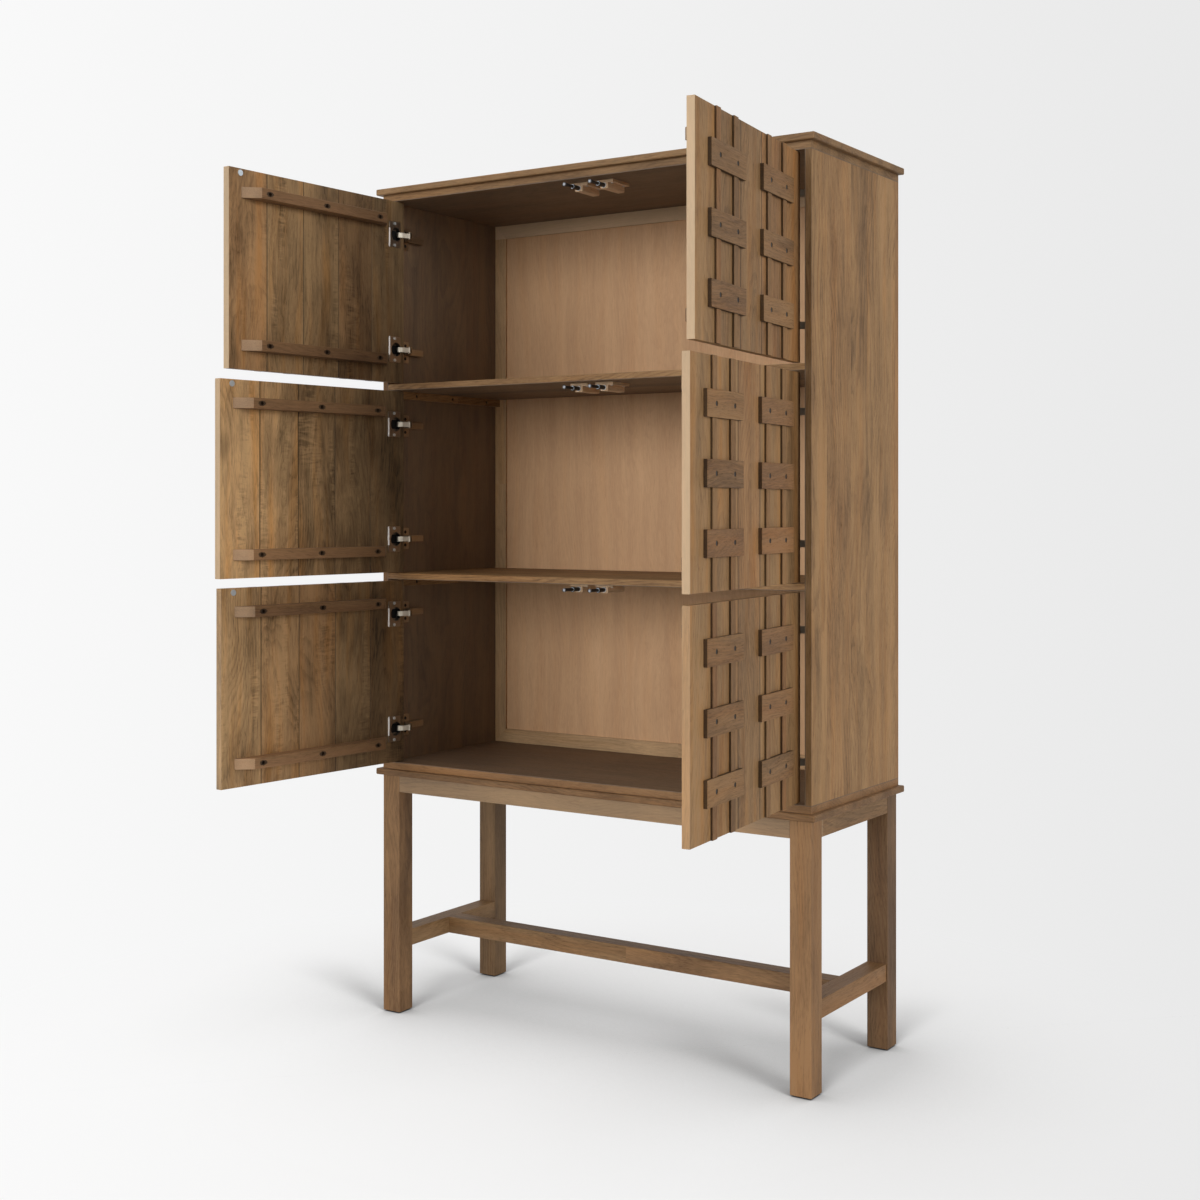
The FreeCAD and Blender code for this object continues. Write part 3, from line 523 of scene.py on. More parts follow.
def stained_wood_group():
    """Colour, roughness and surface of stained wood, from a place in metres with X along the grain."""
    name = "Stained wood"
    if name in bpy.data.node_groups:
        return bpy.data.node_groups[name]
    group = bpy.data.node_groups.new(name, "ShaderNodeTree")
    face = group.interface
    for label, kind, default in (
        ("Place", "Vector", None), ("Piece", "Vector", None),
        ("Light", "Color", (0.3, 0.2, 0.1, 1)), ("Dark", "Color", (0.1, 0.07, 0.04, 1)),
        ("Figure", "Float", 0.5), ("Blotches", "Float", 0.5), ("Warmth", "Float", 0.5),
        ("Rings", "Float", 0.3), ("Pore depth", "Float", 0.1 * MM), ("Shade", "Float", 0.0),
    ):
        socket = face.new_socket(label, in_out="INPUT", socket_type="NodeSocket" + kind)
        if default is not None:
            socket.default_value = default
    for label, kind in (("Color", "Color"), ("Roughness", "Float"), ("Normal", "Vector")):
        face.new_socket(label, in_out="OUTPUT", socket_type="NodeSocket" + kind)
    entry = {socket.name: Signal(group, socket) for socket in add(group, "NodeGroupInput").outputs}
    leave = add(group, "NodeGroupOutput").inputs

    random = add(group, "ShaderNodeTexWhiteNoise", noise_dimensions="3D")
    feed(group, random.inputs["Vector"], entry["Piece"])
    draw = Signal(group, random.outputs["Color"])
    chance = separate(draw)
    start = vector_math("ADD", entry["Place"], vector_math("MULTIPLY", draw, PIECE_SHIFT))

    # The grain wanders a little along the board
    bend = Signal(group, noise_node(start, *BEND_NOISE).outputs["Color"])
    centred = vector_math("SUBTRACT", bend, (0.5, 0.5, 0.5))
    place = vector_math("ADD", start, vector_math("MULTIPLY", centred, GRAIN_WANDER))

    # Growth rings cut at a slant make long arches on the face
    bent = vector_math("ADD", entry["Place"], vector_math("MULTIPLY", centred, RING_WANDER))
    along, across, deep = separate(bent)
    sideways = across - span(chance[0], 0, 1, -RING_SIDEWAYS, RING_SIDEWAYS)
    slant = along * span(chance[2], 0, 1, -RING_SLANT, RING_SLANT)
    inward = slant + (deep + span(chance[1], 0, 1, *RING_DEPTHS))
    wobble = noise(start, *WOBBLE_NOISE) * RING_WOBBLE
    year = ((distance(sideways, inward) + wobble) / RING_WIDTH).apply("FRACT")
    late = span(year, 0.35, 0.92, smooth=True) * span(year, 1.0, 0.94)
    late = late * span(noise(start, *RING_FADE_NOISE), 0.38, 0.60, 0.2, 1.0)

    streak = noise(place, *STREAK_NOISE)
    ripple_zone = span(noise(start, *RIPPLE_ZONE_NOISE), 0.54, 0.66, smooth=True)
    pores = span(noise(place, *PORE_NOISE), 0.58, 0.70)
    veins = span(noise(place, *VEIN_NOISE), 0.60, 0.70, smooth=True)

    level = (streak - 0.5) * 0.52 + (noise(place, *FIBRE_NOISE) - 0.5)
    level = level + (noise(place, *BROAD_NOISE) - 0.5)
    level = level - late * entry["Rings"]
    level = (noise(start, *PATCH_NOISE) - 0.5) * 2.4 * entry["Blotches"] + level
    level = (noise(start, *RIPPLE_NOISE) - 0.44) * 1.9 * ripple_zone * entry["Figure"] + level
    level = level + span(chance[1], 0, 1, -PIECE_TONE, PIECE_TONE) + MEAN_LEVEL
    level = level.apply("SUBTRACT", pores * 0.25, clamp=True)
    colour = mix_colour(level, entry["Dark"], entry["Light"])

    # Some runs of the board are more amber, others greyer, and a few veins are dark
    hue = noise(place, *HUE_NOISE)
    colour = stain_and_shade(colour, span(hue, 0.5, 0.70) * entry["Warmth"], AMBER)
    colour = stain_and_shade(colour, span(hue, 0.5, 0.32) * entry["Warmth"], GREY)
    colour = stain_and_shade(colour, span(chance[2], 0.75, 0.9) * 0.6, RED)
    colour = stain_and_shade(colour, veins * entry["Figure"] * 0.4, VEIN)

    # Now and then there is a small dark knot
    knot = add(group, "ShaderNodeTexVoronoi", feature="F1")
    feed(group, knot.inputs["Vector"], vector_math("MULTIPLY", start, KNOT_SCALE))
    feed(group, knot.inputs["Scale"], 1.0)
    near = span(Signal(group, knot.outputs["Distance"]), 0.11, 0.03, smooth=True)
    colour = mix_colour(near * 0.45, colour, entry["Dark"])

    # The Shade input darkens the colour: for dark joints, stain and tone, and for painted shade
    feed(group, leave["Color"], stain_and_shade(colour, entry["Shade"], SHADE))
    feed(group, leave["Roughness"], 0.56 + (streak - 0.5) * -0.25 + pores * 0.12)
    feed(group, leave["Normal"], bump_from(streak * 0.5 - pores, 0.55, entry["Pore depth"]))
    return group


def wood_material(name, make_place, light, dark, figure=0.0, blotches=0.5, warmth=0.5, rings=0.2,
                  edge=None, tone=None):
    """A wood whose place, piece number and shade come from make_place(tree).

    edge(tree) is the share of a painted tone: painted light in the free-edge tone where no tone is given, painted
    shade in the darker tone that is given.
    """
    material, tree, surface = new_material(name)
    place, piece, shade = make_place(tree)
    made = add(tree, "ShaderNodeGroup", node_tree=stained_wood_group())
    finish = bpy.context.scene.wood_finish
    for label, value in (("Place", place), ("Piece", piece), ("Light", (*light, 1)), ("Dark", (*dark, 1)),
                         ("Figure", figure), ("Blotches", blotches), ("Warmth", warmth),
                         ("Rings", rings), ("Pore depth", finish.pore_depth), ("Shade", shade)):
        feed(tree, made.inputs[label], value)
    colour = Signal(tree, made.outputs["Color"])
    if edge:
        painted_tone = mix_colour(PAINTED_TONE_MIX, tuple(tone or finish.free_edge_painted_light), colour)
        colour = mix_colour(edge(tree), colour, painted_tone)
    feed(tree, surface.inputs["Base Color"], colour)
    tree.links.new(made.outputs["Roughness"], surface.inputs["Roughness"])
    tree.links.new(made.outputs["Normal"], surface.inputs["Normal"])
    surface.inputs["Specular IOR Level"].default_value = WOOD_GLOSS
    return material


def along_axis(axis, piece=(0, 0, 0), split=None):
    """A place with the grain along one axis. split(x, y, z) may tell the pieces of a node apart."""
    order = {"X": (0, 1, 2), "Y": (1, 0, 2), "Z": (2, 0, 1)}[axis]

    def make(tree):
        spots = object_xyz(tree)
        return combine(*(spots[i] for i in order)), split(*spots) if split else piece, 0.0
    return make


def door_place(tree, tier, side):
    """Along, depth and height of a point in its door's own frame, from Object coordinates."""
    back = door_pose(tier, side).inverted()
    x, y, z = object_xyz(tree)
    along, deep = (y * row[1] + (x * row[0] + row[3]) for row in (back[0], back[1]))
    return along, deep, z + back[2][3]


def door_seed(tier, side):
    return TIERS.index(tier) * 2.0 + SIDES.index(side) + 3.0


def dress(node, material):
    """Gives a CAD node its material."""
    held = frame["nodes"][node]
    if not held.material_slots:
        held.data.materials.append(material)
    for entry in held.material_slots:
        entry.material = material


FACE_SKIN = 2 * MM
INSIDE_PAINTED_SHADE = 0.85
BAND_MIDDLE = 262 * MM
BAND_EDGE, BAND_CORE = 45 * MM, 12 * MM
BAND_WANDER_NOISE = ((2.0, 9.0, 1.0), 2.0)
BAND_WANDER = 30 * MM
BAND_SHADE = 0.8
SIDE_BOARD_WIDTH = 118 * MM
FRONT_EDGE_SKIN = 1.5 * MM
FRONT_EDGE_PAINTED_SHADE = 0.52
DEPTH_SPLIT = 300 * MM
REAR_LEG_PAINTED_SHADE = 0.36
FRONT_APRON_DEPTH = 100 * MM
APRON_LEVEL = 500 * MM
APRON_PAINTED_LIGHT = 0.3
SIDE_RAIL_REACH = 527.2 * MM
REAR_RAIL_DEPTH = 260 * MM
STRETCHER_TOP = 300 * MM
TOP_RAIL_HEIGHT = 34 * MM
TOP_RAIL_PAINTED_LIGHT = 0.8


class CABINET_OT_case_wood(bpy.types.Operator):
    """Stain the slabs, case boards, sides, shelves, back, cleats and stand"""

    bl_idname = "cabinet.case_wood"
    bl_label = "Case and stand wood"

    def execute(self, context):
        finish = context.scene.wood_finish
        frame_wood = dict(light=finish.frame_light, dark=finish.frame_dark, blotches=0.45, warmth=0.4)
        board_wood = dict(light=finish.board_light, dark=finish.board_dark,
                          blotches=0.5, warmth=0.45, rings=0.3)
        back_frame_wood = dict(light=finish.back_frame_light, dark=finish.back_frame_dark,
                               blotches=0.4, warmth=0.4)
        veneer = dict(light=finish.back_light, dark=finish.back_dark, blotches=0.2, warmth=0.15, rings=0.13)

        # Painted shade on the faces inside the case
        def inside(node):
            return dict(edge=self.inside_painted_shade(node), tone=finish.inside)

        for node, make_place, wood in (
            ("top_board", along_axis("X", (0, 1, 0)), frame_wood),
            ("bottom_board", along_axis("X", (1, 1, 0)), frame_wood),
            ("case_top", along_axis("X", (2, 1, 1)), frame_wood | inside("case_top")),
            ("case_bottom", along_axis("X", (2, 1, 0)), frame_wood | inside("case_bottom")),
            ("shelf_lower", along_axis("X", (1, 2, 0)), board_wood | inside("shelf_lower")),
            ("shelf_upper", self.upper_shelf_place, board_wood | inside("shelf_upper")),
            ("side_left", self.side_place, board_wood | inside("side_left")),
            ("side_right", self.side_place, board_wood | inside("side_right")),
            ("shelf_cleats", along_axis("Y", split=self.by_corner), board_wood),
            ("legs", self.leg_place, frame_wood),
            ("stand_rails", self.rail_place, frame_wood | dict(edge=self.front_apron_painted_light)),
            ("back_frame", self.back_frame_place, back_frame_wood | dict(edge=self.top_rail_painted_light)),
            ("back_panel", along_axis("Z", (5, 5, 0)), veneer),
        ):
            dress(node, wood_material(node + "_wood", make_place, **wood))
        return {"FINISHED"}

    @staticmethod
    def inside_painted_shade(node):
        """The share of painted shade, in the grey-brown inside tone, on a board's face towards the room inside."""
        def make(tree):
            low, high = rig.box(node)
            x, y, z = object_xyz(tree)
            if node.startswith("side"):
                return abs(x) < min(abs(low.x), abs(high.x)) + FACE_SKIN
            inside = z > high.z - FACE_SKIN if node == "case_bottom" else z < low.z + FACE_SKIN
            return inside * INSIDE_PAINTED_SHADE
        return make

    @staticmethod
    def upper_shelf_place(tree):
        """The upper shelf's underside has a dark band along its whole length."""
        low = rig.box("shelf_upper")[0]
        x, y, z = object_xyz(tree)
        wander = noise(combine(x, y, z), *BAND_WANDER_NOISE) * BAND_WANDER
        off = abs(y + wander - BAND_MIDDLE)
        band = span(off, BAND_EDGE, BAND_CORE, smooth=True) * (z < low.z + FACE_SKIN)
        return combine(x, y, z), (0, 2, 0), band * BAND_SHADE

    @staticmethod
    def side_place(tree):
        """A side is glued up from boards of their own tone; its front edge gets painted shade, as the open door keeps
        the light off it.
        """
        x, y, z = object_xyz(tree)
        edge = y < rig.box("side_right")[0].y + FRONT_EDGE_SKIN
        piece = combine(x > 0, math.floor(y / SIDE_BOARD_WIDTH), 4.0)
        return combine(z, x, y), piece, edge * FRONT_EDGE_PAINTED_SHADE

    @staticmethod
    def by_corner(x, y, z):
        return combine(x > 0, y > DEPTH_SPLIT, math.floor(z))

    @staticmethod
    def leg_place(tree):
        """The rear legs get painted shade, darker than the front ones."""
        x, y, z = object_xyz(tree)
        rear = y > DEPTH_SPLIT
        return combine(z, x, y), combine(x > 0, rear, 0.0), rear * REAR_LEG_PAINTED_SHADE

    @staticmethod
    def front_apron_painted_light(tree):
        """Painted light on the front apron, lifting it out of the shade under the slab's overhang."""
        x, y, z = object_xyz(tree)
        return (y < FRONT_APRON_DEPTH) * (z > APRON_LEVEL) * APRON_PAINTED_LIGHT

    @staticmethod
    def rail_place(tree):
        """Front and back rails run along X, side rails along Y."""
        x, y, z = object_xyz(tree)
        side = abs(x) > SIDE_RAIL_REACH
        place = mix_vector(side, combine(x, y, z), combine(y, x, z))
        rear = (y > REAR_RAIL_DEPTH) * (1.0 - side)
        return place, combine(side * x.apply("SIGN"), rear, z > STRETCHER_TOP), 0.0

    @staticmethod
    def top_rail_painted_light(tree):
        """Painted light on the back frame's top rail, which lies in the shade of the case top."""
        x, y, z = object_xyz(tree)
        return (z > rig.box("back_frame")[1].z - TOP_RAIL_HEIGHT) * TOP_RAIL_PAINTED_LIGHT

    @staticmethod
    def back_frame_place(tree):
        """Stiles run along Z and rails along X, parted at the mitres."""
        low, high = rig.box("back_frame")
        x, y, z = object_xyz(tree)
        rise = z - (low.z + high.z) / 2
        stile = (high.x - abs(x)) < ((high.z - low.z) / 2 - abs(rise))
        place = mix_vector(stile, combine(x, z, y), combine(z, x, y))
        across = stile * x.apply("SIGN")
        up = (1.0 - stile) * rise.apply("SIGN")
        return place, combine(across, up, 9.0), 0.0


# Shades run from none at 0 to nearly black at 1
GROOVE_EDGE, GROOVE_CORE = 2.1 * MM, 0.9 * MM
# Painted shade on the left doors' inner faces and cleats, growing towards the hinges
HINGE_SHADE_START, HINGE_SHADE_END = 500 * MM, 50 * MM
PAINTED_SHADE_FREE_END = {"upper": 0.32, "middle": 0.0, "lower": 0.24}
PAINTED_SHADE_HINGE_END = 0.84
CLEAT_PAINTED_SHADE = 0.5
OUTER_HALF = 8 * MM
OUTER_SHADE = 0.38
# Painted light on the doors' free edges, a share for each tier
LIT_EDGE_DEPTH, LIT_EDGE_FULL = 1.2 * MM, 0.4 * MM
LIT_EDGE_SHARE = {"upper": 1.0, "middle": 0.9, "lower": 0.35}
POCKET_STRETCH = 0.55
POCKET_SHADE_NOISE = ((300.0, 600.0, 600.0),)
POCKET_SHADE_RAGGED = 5 * MM
POCKET_SHADE_EDGE, POCKET_SHADE_CORE = 8.8 * MM, 7.8 * MM
CLEAT_TOP = 48 * MM
CLEAT_SPLIT = 200 * MM
BEVEL_START, BEVEL_FULL = 198.4 * MM, 199.4 * MM
BEVEL_PAINTED_LIGHT = 0.30
LATTICE_SLACK = 0.1 * MM
LATTICE_SIDE_START, LATTICE_SIDE_FULL = 0.4 * MM, 1.0 * MM
LATTICE_SIDE_SHADE = 0.92


class CABINET_OT_door_wood(bpy.types.Operator):
    """Stain the boards, cleats and lattice of the six doors"""

    bl_idname = "cabinet.door_wood"
    bl_label = "Door wood"

    def execute(self, context):
        finish = context.scene.wood_finish
        right_boards = dict(light=finish.board_light, dark=finish.board_dark, figure=0.1, blotches=0.35)
        left_boards = dict(light=finish.inner_light, dark=finish.inner_dark,
                           figure=finish.figure, blotches=0.7)
        for tier, side, door in doors():
            dress(door + "_boards", wood_material(
                door + "_boards_wood", self.board_place(tier, side), warmth=0.8, rings=0.2,
                edge=self.free_edge_painted_light(tier, side), **(left_boards if side == "left" else right_boards)))
            dress(door + "_cleats", wood_material(
                door + "_cleats_wood", self.cleat_place(tier, side), finish.cleat_light, finish.cleat_dark,
                blotches=0.4, warmth=0.3, rings=0.1, edge=self.cleat_end_painted_light(tier, side)))
            dress(door + "_lattice", wood_material(
                door + "_lattice_wood", self.lattice_place(tier, side), finish.lattice_light,
                finish.lattice_dark, blotches=0.4, warmth=0.5, rings=0.16))
        return {"FINISHED"}

    @staticmethod
    def board_place(tier, side):
        def make(tree):
            sizes = bpy.context.scene.lattice_sizes
            width = sizes.door_width / sizes.board_count
            along, deep, up = door_place(tree, tier, side)
            index = math.floor(along / width)
            middle = (index + 0.5) * width
            # The small V between boards is dark with stain
            joint = along.apply("PINGPONG", width)
            close = smaller(joint, width - joint)
            inner = within(along, width / 2, sizes.door_width - width / 2)
            shade = span(close, GROOVE_EDGE, GROOVE_CORE) * inner
            if side == "left":
                # Painted shade: the inner faces get darker towards the hinges, where the right doors keep the light
                # off, and the upper and lower doors are darker all over
                painted_shade = span(along, HINGE_SHADE_START, HINGE_SHADE_END, PAINTED_SHADE_FREE_END[tier], PAINTED_SHADE_HINGE_END, smooth=True)
                shade = larger(shade, span(deep < OUTER_HALF, 0.0, 1.0, painted_shade, OUTER_SHADE))
            return combine(up, along - middle, deep), combine(index, door_seed(tier, side), 1.0), shade
        return make

    @staticmethod
    def free_edge_painted_light(tier, side):
        """Painted light on the door's free edge, which faces the front lamp, fading over its eased corners."""
        def make(tree):
            width = bpy.context.scene.lattice_sizes.door_width
            along, deep, up = door_place(tree, tier, side)
            return span(along, width - LIT_EDGE_DEPTH, width - LIT_EDGE_FULL, 0.0, LIT_EDGE_SHARE[tier])
        return make

    @staticmethod
    def cleat_place(tier, side):
        def make(tree):
            along, deep, up = door_place(tree, tier, side)
            # Painted shade: the wood round each screw pocket is darkened, standing in for the shade of the deep pocket
            step = along - CLEAT_MIDDLE
            row = larger(smaller(round(step / CLEAT_SCREW_PITCH), 1.0), -1.0)
            off = (step - row * CLEAT_SCREW_PITCH) * POCKET_STRETCH
            half = door_half_height(tier, side)
            rise = abs(up - half) - (half - CLEAT_INSET)
            ragged = noise(combine(along, up, deep), *POCKET_SHADE_NOISE) * POCKET_SHADE_RAGGED
            shade = span(distance(off, rise) + ragged, POCKET_SHADE_EDGE, POCKET_SHADE_CORE)
            if side == "left":
                # Painted shade towards the hinges, as on the left doors' boards
                shade = larger(shade, span(along, HINGE_SHADE_START, HINGE_SHADE_END, 0.0, CLEAT_PAINTED_SHADE, smooth=True))
            return combine(along, up, deep), combine(up > CLEAT_SPLIT, door_seed(tier, side), 2.0), shade
        return make

    @staticmethod
    def cleat_end_painted_light(tier, side):
        """Painted light on the bevelled ends, which makes them paler than the cleat's faces."""
        def make(tree):
            along, deep, up = door_place(tree, tier, side)
            bevel = abs(along - CLEAT_MIDDLE) + (deep - CLEAT_TOP)
            return span(bevel, BEVEL_START, BEVEL_FULL) * BEVEL_PAINTED_LIGHT
        return make

    @staticmethod
    def lattice_place(tier, side):
        def make(tree):
            sizes = bpy.context.scene.lattice_sizes
            along, deep, up = door_place(tree, tier, side)
            column = along > sizes.door_width / 2
            to_column = column * (-2 * sizes.column_offset) + sizes.column_offset
            across = (along - sizes.door_width / 2) + to_column
            rise = up - door_half_height(tier, side)
            row = larger(smaller(round(rise / sizes.block_pitch), 1.0), -1.0)
            in_row = abs(rise - row * sizes.block_pitch) < sizes.block_height / 2 + LATTICE_SLACK
            block = in_row * (abs(across) < sizes.block_width / 2 + LATTICE_SLACK)
            place = mix_vector(block, combine(up, along, deep), combine(along, up, deep))
            piece = mix_vector(block, combine(across.apply("SIGN"), column, 3.0), combine(row, column, 7.0))
            piece = vector_math("ADD", piece, (door_seed(tier, side) * 10, 0, 0))
            # Stain gathers on the sides and ends, which are much darker than the faces
            face = block * (sizes.block_thickness - sizes.batten_thickness) + sizes.batten_thickness
            below = span(deep + face, LATTICE_SIDE_START, LATTICE_SIDE_FULL)
            return place, piece, below * LATTICE_SIDE_SHADE
        return make


# Metal and plastic

BLACK_OXIDE = tint(27, 25, 24)
BLACK_PLASTIC = tint(26, 25, 25)
FLANGE_METAL = tint(140, 130, 118)
FLANGE_PAINTED_HIGHLIGHT = tint(252, 249, 244)
PALE_STEEL = tint(214, 224, 232)
SCRATCH_DEPTH = 0.03 * MM
DULL_SHARE = 0.55
TUBE_METALLIC = 0.2

# Places in a door's own frame: the flange lies on the door's inner face
FACE_LEVEL = 16.2 * MM
SCREW_HEAD_LEVEL = 17.25 * MM
CUP_SLOT_HALF = 10.8 * MM
CUP_SLOT_END = 40 * MM
FLANGE_EDGE_FROM, FLANGE_EDGE_TO = 49.3 * MM, 54 * MM
FLANGE_HIGHLIGHT_REACH = 14.4 * MM
STRIKE_FROM = 300 * MM

# Bands of the latch tube and the plunger's tip: from and to behind the front, colour and radius; the pale colours on
# the steel are painted light and painted highlights
FRONT_COLLAR_PAINTED_LIGHT = (21.0 * MM, 23.8 * MM, tint(206, 214, 222), 4.9 * MM)
REAR_COLLAR_PAINTED_LIGHT = (45.4 * MM, 48.1 * MM, tint(240, 245, 250), 9 * MM)
TIP_RIM = (-12.2 * MM, -8.95 * MM, tint(66, 68, 72), 9 * MM)
TIP_PAINTED_HIGHLIGHT = (-12.2 * MM, -8.95 * MM, tint(166, 170, 174), 2.7 * MM)
LATCH_TIER_PITCH = 450 * MM


def metal_material(name, colour, roughness, streak=(400.0, 400.0, 40.0), metallic=1.0, dirt=0.25):
    """Plated or blackened metal with fine rubbing marks and slight dulling."""
    material, tree, surface = new_material(name)
    place = object_place(tree)
    fine = noise(place, streak, 3.0)
    dulled = span(noise(place, (35.0, 35.0, 35.0), 2.0), 0.35, 0.7, 0.0, dirt)
    dull = tuple(part * DULL_SHARE for part in colour)
    feed(tree, surface.inputs["Base Color"], mix_colour(dulled, colour, dull))
    feed(tree, surface.inputs["Roughness"], span(fine, 0.3, 0.7, roughness * 0.8, roughness * 1.25))
    feed(tree, surface.inputs["Normal"], bump_from(fine, 0.2, SCRATCH_DEPTH))
    surface.inputs["Metallic"].default_value = metallic
    return material


def banded_material(name, dark, front, bands, centres):
    """Black plastic with steel in bands, whose pale colours are painted light and painted highlights.

    A band is from, to, colour and radius, by depth behind the front and by reach from the nearest centre.
    """
    material, tree, surface = new_material(name)
    place = object_place(tree)
    x, y, z = separate(place)
    reach = None
    for centre_x, centre_z in centres:
        away = distance(x - centre_x, z - centre_z)
        reach = away if reach is None else smaller(reach, away)
    colour = dark
    steel = None
    for low, high, bright, radius in bands:
        inside = within(y, front + low, front + high) * (reach < radius)
        colour = mix_colour(inside, colour, bright)
        steel = inside if steel is None else larger(steel, inside)
    grain = noise(place, (900.0, 900.0, 900.0), 2.0)
    rough = mix_number(steel, span(grain, 0.3, 0.7, 0.42, 0.55), span(grain, 0.3, 0.7, 0.30, 0.42))
    feed(tree, surface.inputs["Base Color"], colour)
    # The steel bands are barely metallic, so their painted light shows under any lamp
    feed(tree, surface.inputs["Metallic"], steel * TUBE_METALLIC)
    feed(tree, surface.inputs["Roughness"], rough)
    feed(tree, surface.inputs["Normal"], bump_from(grain, 0.15, SCRATCH_DEPTH))
    return material


class CABINET_OT_hardware(bpy.types.Operator):
    """Finish the hinges, strikes, latches and glides"""

    bl_idname = "cabinet.hardware"
    bl_label = "Hinges, latches and glides"

    def execute(self, context):
        link = metal_material("hinge_link_plate", tint(208, 200, 184), 0.58,
                              streak=(700.0, 700.0, 700.0), metallic=0.8)
        dress("hinge_arms", metal_material("hinge_arm_plate", tint(158, 144, 126), 0.4))
        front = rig.box("case_top")[0].y
        axes = {}
        for tier, side, door in doors():
            dress(door + "_hardware", self.cup_material(door + "_hardware_plate", tier, side))
            dress("hinge_links_%s_%s" % (tier, side), link)
            plunger = "latch_plunger_%s_%s" % (tier, side)
            low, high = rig.box(plunger)
            axes[plunger] = ((low.x + high.x) / 2, (low.z + high.z) / 2)
        dress("latch_bodies", banded_material(
            "latch_tube", BLACK_PLASTIC, front, (FRONT_COLLAR_PAINTED_LIGHT, REAR_COLLAR_PAINTED_LIGHT), axes.values()))
        for name, axis in axes.items():
            dress(name, banded_material(name + "_rod", BLACK_PLASTIC, front, (TIP_RIM, TIP_PAINTED_HIGHLIGHT), (axis,)))
        finish = context.scene.wood_finish
        dress("latch_blocks", wood_material("latch_holder_wood", along_axis("Y", split=self.by_latch),
                                            finish.holder_light, finish.holder_dark, blotches=0.3))
        dress("glides", metal_material("glide_plastic", BLACK_PLASTIC, 0.5, metallic=0.0, dirt=0.5))
        return {"FINISHED"}

    @staticmethod
    def cup_material(name, tier, side):
        """Flanges, cup screws and strike of a door, with the cup below the door's face dark inside.

        The flange's outer edge has a painted highlight, near white and barely metallic, but not at its end towards the
        door's edge.
        """
        material, tree, surface = new_material(name)
        along, deep, up = door_place(tree, tier, side)
        half = door_half_height(tier, side)
        below = deep < FACE_LEVEL
        # Height from the nearer hinge, growing towards the door's edge
        off = abs(up - half) - (half - HINGE_INSET)
        inside = below
        if side == "left":
            inside = below * ((abs(off) < CUP_SLOT_HALF) * (along < CUP_SLOT_END))
        edge = within(along, FLANGE_EDGE_FROM, FLANGE_EDGE_TO) * (1.0 - below)
        # Painted highlight on the flange's outer edge
        painted_highlight = edge * (off < FLANGE_HIGHLIGHT_REACH)
        pale = larger(along > STRIKE_FROM, (deep > SCREW_HEAD_LEVEL) * (1.0 - edge))
        fine = noise(combine(along, deep, up), (400.0, 400.0, 60.0), 3.0)
        steel = mix_colour(painted_highlight, mix_colour(pale, FLANGE_METAL, PALE_STEEL), FLANGE_PAINTED_HIGHLIGHT)
        feed(tree, surface.inputs["Base Color"], mix_colour(inside, steel, BLACK_PLASTIC))
        feed(tree, surface.inputs["Metallic"], (1.0 - inside * 0.8) - painted_highlight * 0.95)
        feed(tree, surface.inputs["Roughness"], fine * 0.14 + (inside * 0.2 + (pale * 0.1 + 0.32)))
        feed(tree, surface.inputs["Normal"], bump_from(fine, 0.2, SCRATCH_DEPTH))
        surface.inputs["Specular IOR Level"].default_value = 0.2
        return material

    @staticmethod
    def by_latch(x, y, z):
        return combine(x > 0, 8.0, math.floor(z / LATCH_TIER_PITCH))


# Fasteners, repeated by geometry nodes

NAIL = dict(height=0.9 * MM, shank=1.2 * MM, length=13 * MM)
DOOR_SCREW = dict(height=2.6 * MM, shank=2 * MM, length=30 * MM)
CLEAT_SCREW = dict(height=2.6 * MM, shank=2 * MM, length=18 * MM)
PLATE_SCREW = dict(height=1.6 * MM, shank=1.8 * MM, length=10 * MM)
LATCH_SCREW = dict(height=1.6 * MM, shank=1.5 * MM, length=12 * MM)
CLEAT_SCREW_SEAT = 39 * MM
PLATE_THICKNESS = 2 * MM
PLATE_BACK = 62 * MM
PLATE_SCREW_STEPS = (-16 * MM, 16 * MM)
LATCH_SIDE = 34.5 * MM
LATCH_SCREWS_ACROSS = (-14.5 * MM, 14.5 * MM)
LATCH_SCREWS_BACK = (59 * MM, 107 * MM)
DOOR_TOP_GAP = 2.8 * MM
HOLDER_THICKNESS = 6.5 * MM
SHELF_CLEAT_DROP = 9 * MM
SHELF_CLEAT_SEAT = 10 * MM
SHELF_CLEAT_MIDDLE = 234 * MM
SHELF_CLEAT_STEPS = (-142 * MM, 0, 142 * MM)


